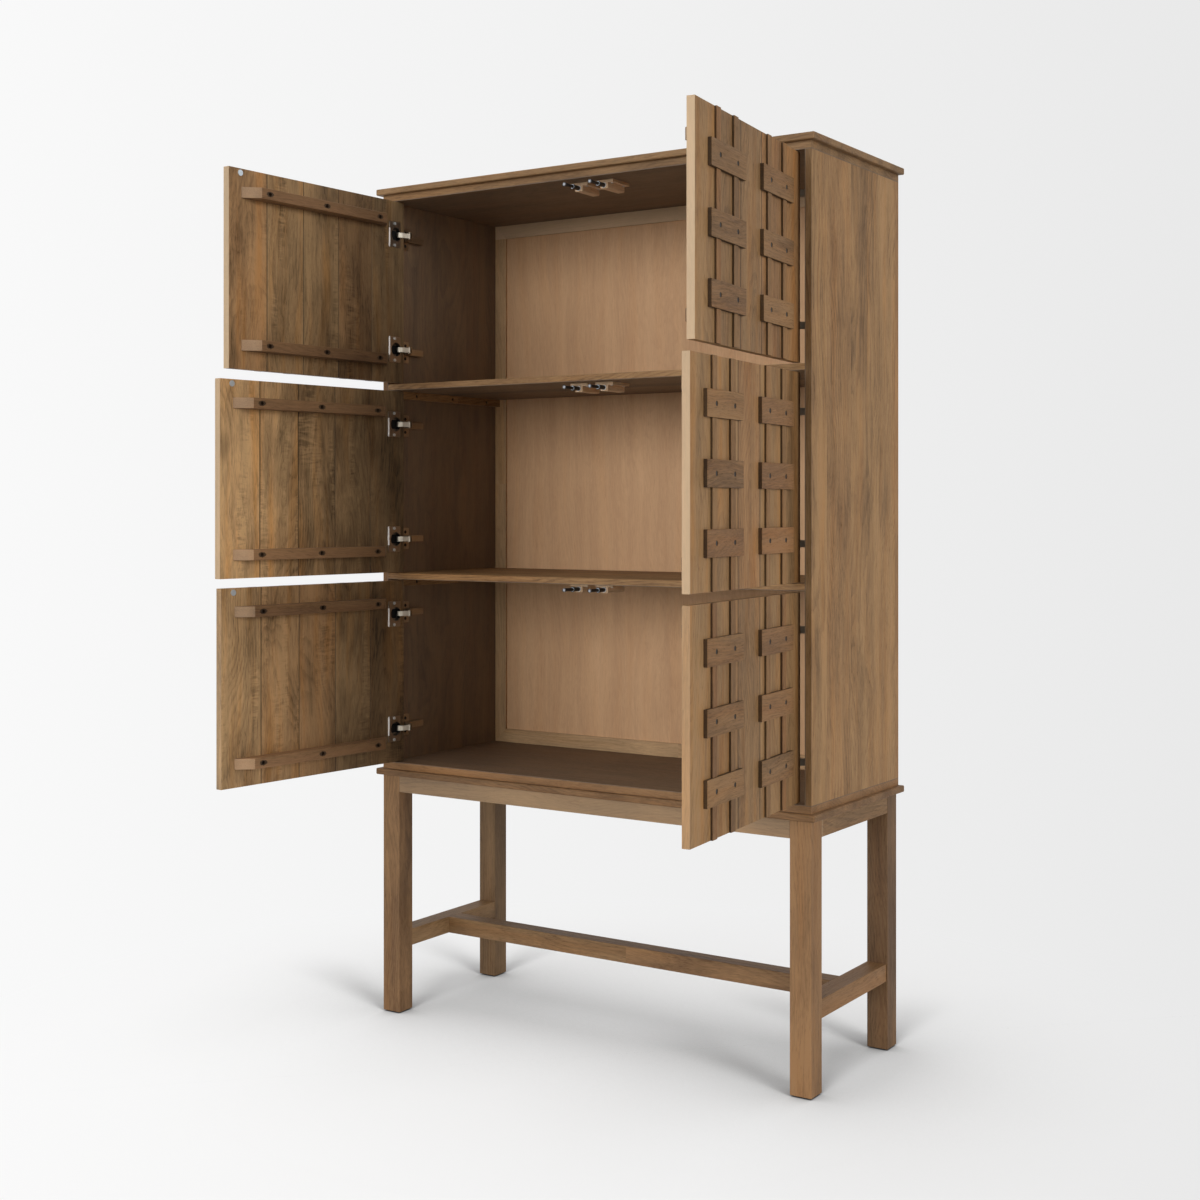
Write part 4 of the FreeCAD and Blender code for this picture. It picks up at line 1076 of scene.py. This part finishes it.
def repeat_tree():
    """Sets a prototype at every marked place, each turned by its own random angle about its axis."""
    name = "Fasteners at marked places"
    if name in bpy.data.node_groups:
        return bpy.data.node_groups[name]
    tree = bpy.data.node_groups.new(name, "GeometryNodeTree")
    for label, kind, default in (
        ("Places", "Geometry", None), ("Fastener", "Object", None), ("Size", "Float", 1.0),
        ("Turn", "Float", 2 * math.pi), ("Seed", "Int", 4), ("Finish", "Material", None),
    ):
        socket = tree.interface.new_socket(label, in_out="INPUT", socket_type="NodeSocket" + kind)
        if default is not None:
            socket.default_value = default
    tree.interface.new_socket("Fasteners", in_out="OUTPUT", socket_type="NodeSocketGeometry")
    entry = add(tree, "NodeGroupInput").outputs
    leave = add(tree, "NodeGroupOutput").inputs
    read = add(tree, "GeometryNodeInputNamedAttribute", data_type="FLOAT_VECTOR")
    read.inputs["Name"].default_value = "axis"
    align = add(tree, "FunctionNodeAlignRotationToVector", axis="Z")
    chance = add(tree, "FunctionNodeRandomValue", data_type="FLOAT")
    chance.inputs[2].default_value = 0.0
    spin = add(tree, "FunctionNodeAxisAngleToRotation")
    spin.inputs["Axis"].default_value = (0, 0, 1)
    turned = add(tree, "FunctionNodeRotateRotation", rotation_space="LOCAL")
    shape = add(tree, "GeometryNodeObjectInfo")
    points = add(tree, "GeometryNodeMeshToPoints")
    put = add(tree, "GeometryNodeInstanceOnPoints")
    real = add(tree, "GeometryNodeRealizeInstances")
    finish = add(tree, "GeometryNodeSetMaterial")
    for start, end in (
        (read.outputs["Attribute"], align.inputs["Vector"]),
        (entry["Turn"], chance.inputs[3]), (entry["Seed"], chance.inputs["Seed"]),
        (chance.outputs[1], spin.inputs["Angle"]),
        (align.outputs[0], turned.inputs[0]), (spin.outputs[0], turned.inputs[1]),
        (entry["Fastener"], shape.inputs["Object"]), (entry["Places"], points.inputs["Mesh"]),
        (points.outputs[0], put.inputs["Points"]), (shape.outputs["Geometry"], put.inputs["Instance"]),
        (turned.outputs[0], put.inputs["Rotation"]), (entry["Size"], put.inputs["Scale"]),
        (put.outputs[0], real.inputs[0]), (real.outputs[0], finish.inputs["Geometry"]),
        (entry["Finish"], finish.inputs["Material"]), (finish.outputs[0], leave[0]),
    ):
        tree.links.new(start, end)
    return tree


def mesh_object(name, mesh):
    made = bpy.data.objects.new(name, mesh)
    bpy.context.scene.collection.objects.link(made)
    return made


def repeated_piece(name, prototype, places, finish, seed=4):
    """One mesh with the prototype at each (place, axis), made by the geometry tree."""
    mesh = bpy.data.meshes.new(name + "_places")
    mesh.from_pydata([place for place, axis in places], [], [])
    held = mesh.attributes.new("axis", "FLOAT_VECTOR", "POINT")
    for entry, (place, axis) in zip(held.data, places):
        entry.vector = axis
    made = mesh_object(name, mesh)
    modifier = made.modifiers.new("Fasteners", "NODES")
    modifier.node_group = repeat_tree()
    sockets = {item.name: item.identifier for item in modifier.node_group.interface.items_tree
               if item.in_out == "INPUT"}
    for label, value in (("Fastener", prototype), ("Size", 1.0), ("Turn", 2 * math.pi), ("Seed", seed),
                         ("Finish", finish)):
        modifier[sockets[label]] = value
    bpy.context.view_layer.update()
    solid = bpy.data.meshes.new_from_object(made.evaluated_get(bpy.context.evaluated_depsgraph_get()))
    made.modifiers.remove(modifier)
    made.data = solid
    bpy.data.meshes.remove(mesh)
    for polygon in solid.polygons:
        polygon.use_smooth = False
    return made


def lathe(profile, steps):
    """A closed turned shape about Z from (radius, height) pairs, from the top middle down."""
    mesh = bmesh.new()
    rings = []
    for radius, height in profile:
        if radius == 0:
            rings.append([mesh.verts.new((0, 0, height))])
        else:
            turns = [2 * math.pi * i / steps for i in range(steps)]
            rings.append([mesh.verts.new((radius * math.cos(turn), radius * math.sin(turn), height))
                          for turn in turns])
    for upper, lower in zip(rings, rings[1:]):
        for i in range(steps):
            j = (i + 1) % steps
            if len(upper) == 1:
                mesh.faces.new((upper[0], lower[i], lower[j]))
            elif len(lower) == 1:
                mesh.faces.new((upper[i], lower[0], upper[j]))
            else:
                mesh.faces.new((upper[i], lower[i], lower[j], upper[j]))
    bmesh.ops.recalc_face_normals(mesh, faces=mesh.faces)
    return mesh


def prototype_object(name, mesh):
    data = bpy.data.meshes.new(name)
    mesh.to_mesh(data)
    mesh.free()
    return mesh_object(name, data)


def screw_prototype(name, radius, height, shank, length, steps=16):
    """A pan-head screw with a cross recess, head up the Z axis and its seat at zero."""
    # Rings close together inside the rim hold the recess
    rings = (0.12, 0.3, 0.45, 0.62, 0.74)
    profile = [(0, height)] + [(radius * share, height * (1 - 0.12 * share * share)) for share in rings]
    profile += [(radius * 0.9, height * 0.78), (radius, height * 0.45), (radius, 0.0)]
    profile += [(shank, 0.0), (shank, -length), (0, -length - shank)]
    mesh = lathe(profile, steps)
    depth = height * 0.55
    for vertex in mesh.verts:
        x, y, z = vertex.co
        reach = math.hypot(x, y)
        if z > height * 0.85 and reach < radius * 0.66:
            turn = math.degrees(math.atan2(y, x)) % 90
            on_arm = min(turn, 90 - turn) < 360 / steps * 0.5
            if reach < radius * 0.2 or on_arm:
                vertex.co.z = height - depth * (1 - reach / radius)
    return prototype_object(name, mesh)


def nail_prototype(name, radius, height, shank, length, steps=14):
    """A flat round nail head with a softened rim and a slightly beaten face."""
    profile = [(0, height), (radius * 0.45, height * 1.02), (radius * 0.8, height * 0.93),
               (radius, height * 0.55), (radius, 0.0), (shank, 0.0), (shank, -length), (0, -length - shank)]
    mesh = lathe(profile, steps)
    for vertex in mesh.verts:
        if vertex.co.z > height * 0.8:
            vertex.co.z += 0.12 * MM * math.sin(vertex.co.x * 2400 + 1.0) * math.cos(vertex.co.y * 2100)
    return prototype_object(name, mesh)


def discard(piece):
    mesh = piece.data
    bpy.data.objects.remove(piece)
    bpy.data.meshes.remove(mesh)


def finish_piece(piece, body, slot, *replaced):
    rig.ride(piece, body)
    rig.slot(piece, slot)
    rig.replaces(piece, *replaced)


class CABINET_OT_door_fasteners(bpy.types.Operator):
    """Set the dark nails of the lattice and the dark screws of the door cleats"""

    bl_idname = "cabinet.door_fasteners"
    bl_label = "Door nails and screws"

    def execute(self, context):
        sizes = context.scene.fastener_sizes
        finish = metal_material("black_oxide", BLACK_OXIDE, 0.5, metallic=0.5, dirt=0.5)
        nail = nail_prototype("nail", sizes.nail_head_radius, **NAIL)
        screw = screw_prototype("wood_screw", sizes.screw_head_radius, **DOOR_SCREW)
        for tier, side, door in doors():
            pose = door_pose(tier, side)
            middle = door_half_height(tier, side)
            for label, prototype, places, out in (
                ("_nails", nail, self.nail_places(context, middle), (0, -1, 0)),
                ("_cleat_screws", screw, self.screw_places(middle), (0, 1, 0)),
            ):
                axis = tuple(pose.to_3x3() @ Vector(out))
                placed = [(tuple(pose @ Vector(place)), axis) for place in places]
                seed = int(door_seed(tier, side))
                piece = repeated_piece(door + label, prototype, placed, finish, seed)
                finish_piece(piece, door, "dark_metal", door + "_fasteners")
        discard(nail)
        discard(screw)
        return {"FINISHED"}

    @staticmethod
    def nail_places(context, middle):
        lattice = context.scene.lattice_sizes
        seat = -lattice.block_thickness + context.scene.fastener_sizes.nail_recess
        return [
            (lattice.door_width / 2 + column * lattice.column_offset + batten * lattice.batten_pitch,
             seat, middle + row * lattice.block_pitch)
            for column in (-1, 1) for batten in (-0.5, 0.5) for row in (-1, 0, 1)
        ]

    @staticmethod
    def screw_places(middle):
        return [
            (CLEAT_MIDDLE + step * CLEAT_SCREW_PITCH, CLEAT_SCREW_SEAT, up)
            for step in (-1, 0, 1) for up in (CLEAT_INSET, 2 * middle - CLEAT_INSET)
        ]


class CABINET_OT_case_screws(bpy.types.Operator):
    """Set the screws of the hinge plates, latch holders and shelf cleats"""

    bl_idname = "cabinet.case_screws"
    bl_label = "Case screws"

    def execute(self, context):
        sizes = context.scene.fastener_sizes
        bright = metal_material("zinc_screw", tint(205, 203, 198), 0.3)
        dark = metal_material("black_screw", BLACK_OXIDE, 0.5, metallic=0.5, dirt=0.5)
        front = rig.box("case_top")[0].y
        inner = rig.box("side_right")[0].x
        plates = []
        latches = []
        cleats = []
        for tier in TIERS:
            for side, sign in (("left", -1), ("right", 1)):
                low, high = door_box(tier, side)
                for level in (low.z + HINGE_INSET, high.z - HINGE_INSET):
                    for step in PLATE_SCREW_STEPS:
                        place = (sign * (inner - PLATE_THICKNESS), front + PLATE_BACK, level + step)
                        plates.append((place, (-sign, 0, 0)))
                above = high.z + DOOR_TOP_GAP
                for across in LATCH_SCREWS_ACROSS:
                    for back in LATCH_SCREWS_BACK:
                        place = (sign * LATCH_SIDE + across, front + back, above - HOLDER_THICKNESS)
                        latches.append((place, (0, 0, -1)))
        for shelf in ("shelf_upper", "shelf_lower"):
            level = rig.box(shelf)[0].z - SHELF_CLEAT_DROP
            for step in SHELF_CLEAT_STEPS:
                for sign in (-1, 1):
                    place = (sign * (inner - SHELF_CLEAT_SEAT), front + SHELF_CLEAT_MIDDLE + step, level)
                    cleats.append((place, (-sign, 0, 0)))
        for label, radius, screw, places, finish, slot in (
            ("plate_screws", sizes.plate_screw_radius, PLATE_SCREW, plates, dark, "dark_metal"),
            ("latch_screws", sizes.latch_screw_radius, LATCH_SCREW, latches, bright, "hinge_steel"),
            ("shelf_cleat_screws", sizes.screw_head_radius, CLEAT_SCREW, cleats, dark, "dark_metal"),
        ):
            prototype = screw_prototype("case_screw", radius, **screw)
            piece = repeated_piece(label, prototype, places, finish)
            discard(prototype)
            finish_piece(piece, "case", slot, "case_screws")
        return {"FINISHED"}


# The studio

CAMERA_PLACE = Vector((2.1410, -3.1269, 1.2243))
CAMERA_TURN = math.radians(33.27)
CAMERA_LENS = 50.988
CAMERA_SHIFT = (-0.0017, -0.0765)
VIEW_HALF = 0.36
FLOOR_HALF = 150.0
# The lamps' own shadows count on the floor near the cabinet, and fade out further off
CAST = 0.8
CAST_FROM, CAST_FULL = 1500 * MM, 800 * MM


class CABINET_OT_studio(bpy.types.Operator):
    """Set up the pale floor, backdrop, soft lights and the camera"""

    bl_idname = "cabinet.studio"
    bl_label = "Studio"

    def execute(self, context):
        look = context.scene.studio_look
        floor = self.floor(look)
        self.world(context.scene, look)
        self.lights(look, floor)
        self.camera(context.scene)
        context.scene.view_settings.view_transform = "Standard"
        return {"FINISHED"}

    @staticmethod
    def paper(direction, look):
        """Tone of the backdrop: it falls off evenly from left to right."""
        x, y, z = separate(direction)
        right = x * math.cos(CAMERA_TURN) + y * math.sin(CAMERA_TURN)
        ahead = larger(x * -math.sin(CAMERA_TURN) + y * math.cos(CAMERA_TURN), 0.001)
        share = span(right / ahead, -VIEW_HALF, VIEW_HALF)
        return mix_colour(share, tuple(look.paper_left), tuple(look.paper_right))

    def floor(self, look):
        mesh = bpy.data.meshes.new("studio_floor")
        corners = [(x * FLOOR_HALF, y * FLOOR_HALF, 0) for x, y in ((-1, -1), (1, -1), (1, 1), (-1, 1))]
        mesh.from_pydata(corners, [], [(0, 1, 2, 3)])
        made = mesh_object("studio_floor", mesh)
        material = bpy.data.materials.new("studio_paper")
        material.use_nodes = True
        tree = material.node_tree
        tree.nodes.clear()
        place = object_place(tree)
        tone = self.paper(vector_math("SUBTRACT", place, tuple(CAMERA_PLACE)), look)
        # Seen by the camera, the paper keeps the backdrop's tone but for the soft shadow of what stands on it
        near = add(tree, "ShaderNodeAmbientOcclusion", samples=24)
        near.inputs["Distance"].default_value = look.shadow_reach
        closed = 1.0 - Signal(tree, near.outputs["AO"])
        open_share = 1.0 - closed.apply("MULTIPLY", look.shadow_depth, clamp=True)
        cast = span(vector_math("LENGTH", place, output=1), CAST_FROM, CAST_FULL, 0.0, CAST)
        level = open_share * (1.0 - cast)
        glow = add(tree, "ShaderNodeEmission")
        feed(tree, glow.inputs["Color"], vector_math("MULTIPLY", tone, combine(level, level, level)))
        share = cast / self.floor_level(look) * open_share
        lit = add(tree, "ShaderNodeBsdfDiffuse")
        feed(tree, lit.inputs["Color"], vector_math("MULTIPLY", tone, combine(share, share, share)))
        seen = add(tree, "ShaderNodeAddShader")
        tree.links.new(glow.outputs[0], seen.inputs[0])
        tree.links.new(lit.outputs[0], seen.inputs[1])
        plain = add(tree, "ShaderNodeBsdfDiffuse")
        plain.inputs["Color"].default_value = (look.bounce, look.bounce, look.bounce, 1)
        self.by_ray(tree, plain, seen, "ShaderNodeOutputMaterial")
        mesh.materials.append(material)
        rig.stage(made)
        return made

    def floor_level(self, look):
        """How bright the open floor is lit, as a share of a white floor's tone."""
        total = look.ambient
        for name, towards, level, spread in (*self.lamps(look), *self.foot_lamps(look)):
            total += level * Vector(towards).normalized().z
        return total

    @staticmethod
    def by_ray(tree, plain, seen, kind):
        """One shader for rays from the camera, mirrored or let through, and a plain one for the rest."""
        rays = add(tree, "ShaderNodeLightPath").outputs
        path = {name: Signal(tree, socket) for name, socket in rays.items()}
        straight = larger(larger(path["Is Camera Ray"], path["Is Glossy Ray"]), path["Is Transmission Ray"])
        mixed = add(tree, "ShaderNodeMixShader")
        feed(tree, mixed.inputs[0], straight)
        tree.links.new(plain.outputs[0], mixed.inputs[1])
        tree.links.new(seen.outputs[0], mixed.inputs[2])
        tree.links.new(mixed.outputs[0], add(tree, kind).inputs[0])

    def world(self, scene, look):
        world = bpy.data.worlds.new("studio")
        world.use_nodes = True
        tree = world.node_tree
        tree.nodes.clear()
        direction = Signal(tree, add(tree, "ShaderNodeTexCoord").outputs["Generated"])
        seen = add(tree, "ShaderNodeBackground")
        feed(tree, seen.inputs["Color"], self.paper(direction, look))
        around = add(tree, "ShaderNodeBackground")
        around.inputs["Color"].default_value = (1, 1, 1, 1)
        around.inputs["Strength"].default_value = look.ambient
        self.by_ray(tree, around, seen, "ShaderNodeOutputWorld")
        scene.world = world

    @staticmethod
    def lamps(look):
        """Name, direction to the light, level and spread in degrees."""
        return (
            ("front_softbox", (-0.08, -0.98, 0.09), look.front_light, 40),
            ("side_softbox", (0.95, -0.27, 0.13), look.side_light, 36),
            ("top_softbox", (0.0, -0.15, 1.0), look.top_light, 60),
        )

    @staticmethod
    def foot_lamps(look):
        """Lamps that only light the floor, and that only the legs stand in the way of."""
        return (
            ("foot_lamp_side", (0.58, -0.27, 0.77), look.foot_light, 14),
            ("foot_lamp_front", (0.08, -0.52, 0.85), look.foot_light, 14),
        )

    def lights(self, look, floor):
        lit = bpy.data.collections.new("studio_floor_only")
        lit.objects.link(floor)
        shading = bpy.data.collections.new("cabinet_legs_only")
        shading.objects.link(frame["nodes"]["legs"])
        for lamp in self.foot_lamps(look):
            made = self.lamp(*lamp)
            made.light_linking.receiver_collection = lit
            made.light_linking.blocker_collection = shading
        for lamp in self.lamps(look):
            self.lamp(*lamp)

    @staticmethod
    def lamp(name, towards, level, spread):
        lamp = bpy.data.lights.new(name, "SUN")
        lamp.energy = level * math.pi
        lamp.angle = math.radians(spread)
        made = bpy.data.objects.new(name, lamp)
        made.rotation_euler = Vector(towards).to_track_quat("Z", "Y").to_euler()
        bpy.context.scene.collection.objects.link(made)
        return made

    @staticmethod
    def camera(scene):
        data = bpy.data.cameras.new("camera")
        data.lens = CAMERA_LENS
        data.sensor_width = 36.0
        data.shift_x, data.shift_y = CAMERA_SHIFT
        data.clip_end = 500
        made = bpy.data.objects.new("camera", data)
        made.location = CAMERA_PLACE
        made.rotation_euler = (math.radians(90), 0, CAMERA_TURN)
        scene.collection.objects.link(made)
        scene.camera = made


class CABINET_PT_panel(bpy.types.Panel):
    """Lists the steps that dress the cabinet"""

    bl_label = "Tall cabinet"
    bl_idname = "CABINET_PT_panel"
    bl_space_type = "VIEW_3D"
    bl_region_type = "UI"
    bl_category = "Cabinet"

    def draw(self, context):
        for step in STEPS:
            self.layout.operator(step.bl_idname)
        for name in GROUPS:
            held = getattr(context.scene, name)
            box = self.layout.box()
            for key in held.__annotations__:
                box.prop(held, key)


STEPS = (CABINET_OT_studio, CABINET_OT_case_wood, CABINET_OT_door_wood, CABINET_OT_hardware,
         CABINET_OT_door_fasteners, CABINET_OT_case_screws)
GROUPS = {"wood_finish": WoodFinish, "lattice_sizes": LatticeSizes, "fastener_sizes": FastenerSizes,
          "studio_look": StudioLook}


def register():
    for name, group in GROUPS.items():
        bpy.utils.register_class(group)
        setattr(bpy.types.Scene, name, bpy.props.PointerProperty(type=group))
    for step in STEPS:
        bpy.utils.register_class(step)
    bpy.utils.register_class(CABINET_PT_panel)


def unregister():
    bpy.utils.unregister_class(CABINET_PT_panel)
    for step in reversed(STEPS):
        bpy.utils.unregister_class(step)
    for name, group in GROUPS.items():
        delattr(bpy.types.Scene, name)
        bpy.utils.unregister_class(group)


def main():
    register()
    for step in STEPS:
        area, name = step.bl_idname.split(".")
        getattr(getattr(bpy.ops, area), name)()
    low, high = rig.bounds()
    with open(SIZE_FILE, "w") as file:
        json.dump({"cad": [list(CAD_LOW), list(CAD_HIGH)], "visual": [list(low), list(high)]}, file)


if __name__ == "__main__":
    main()
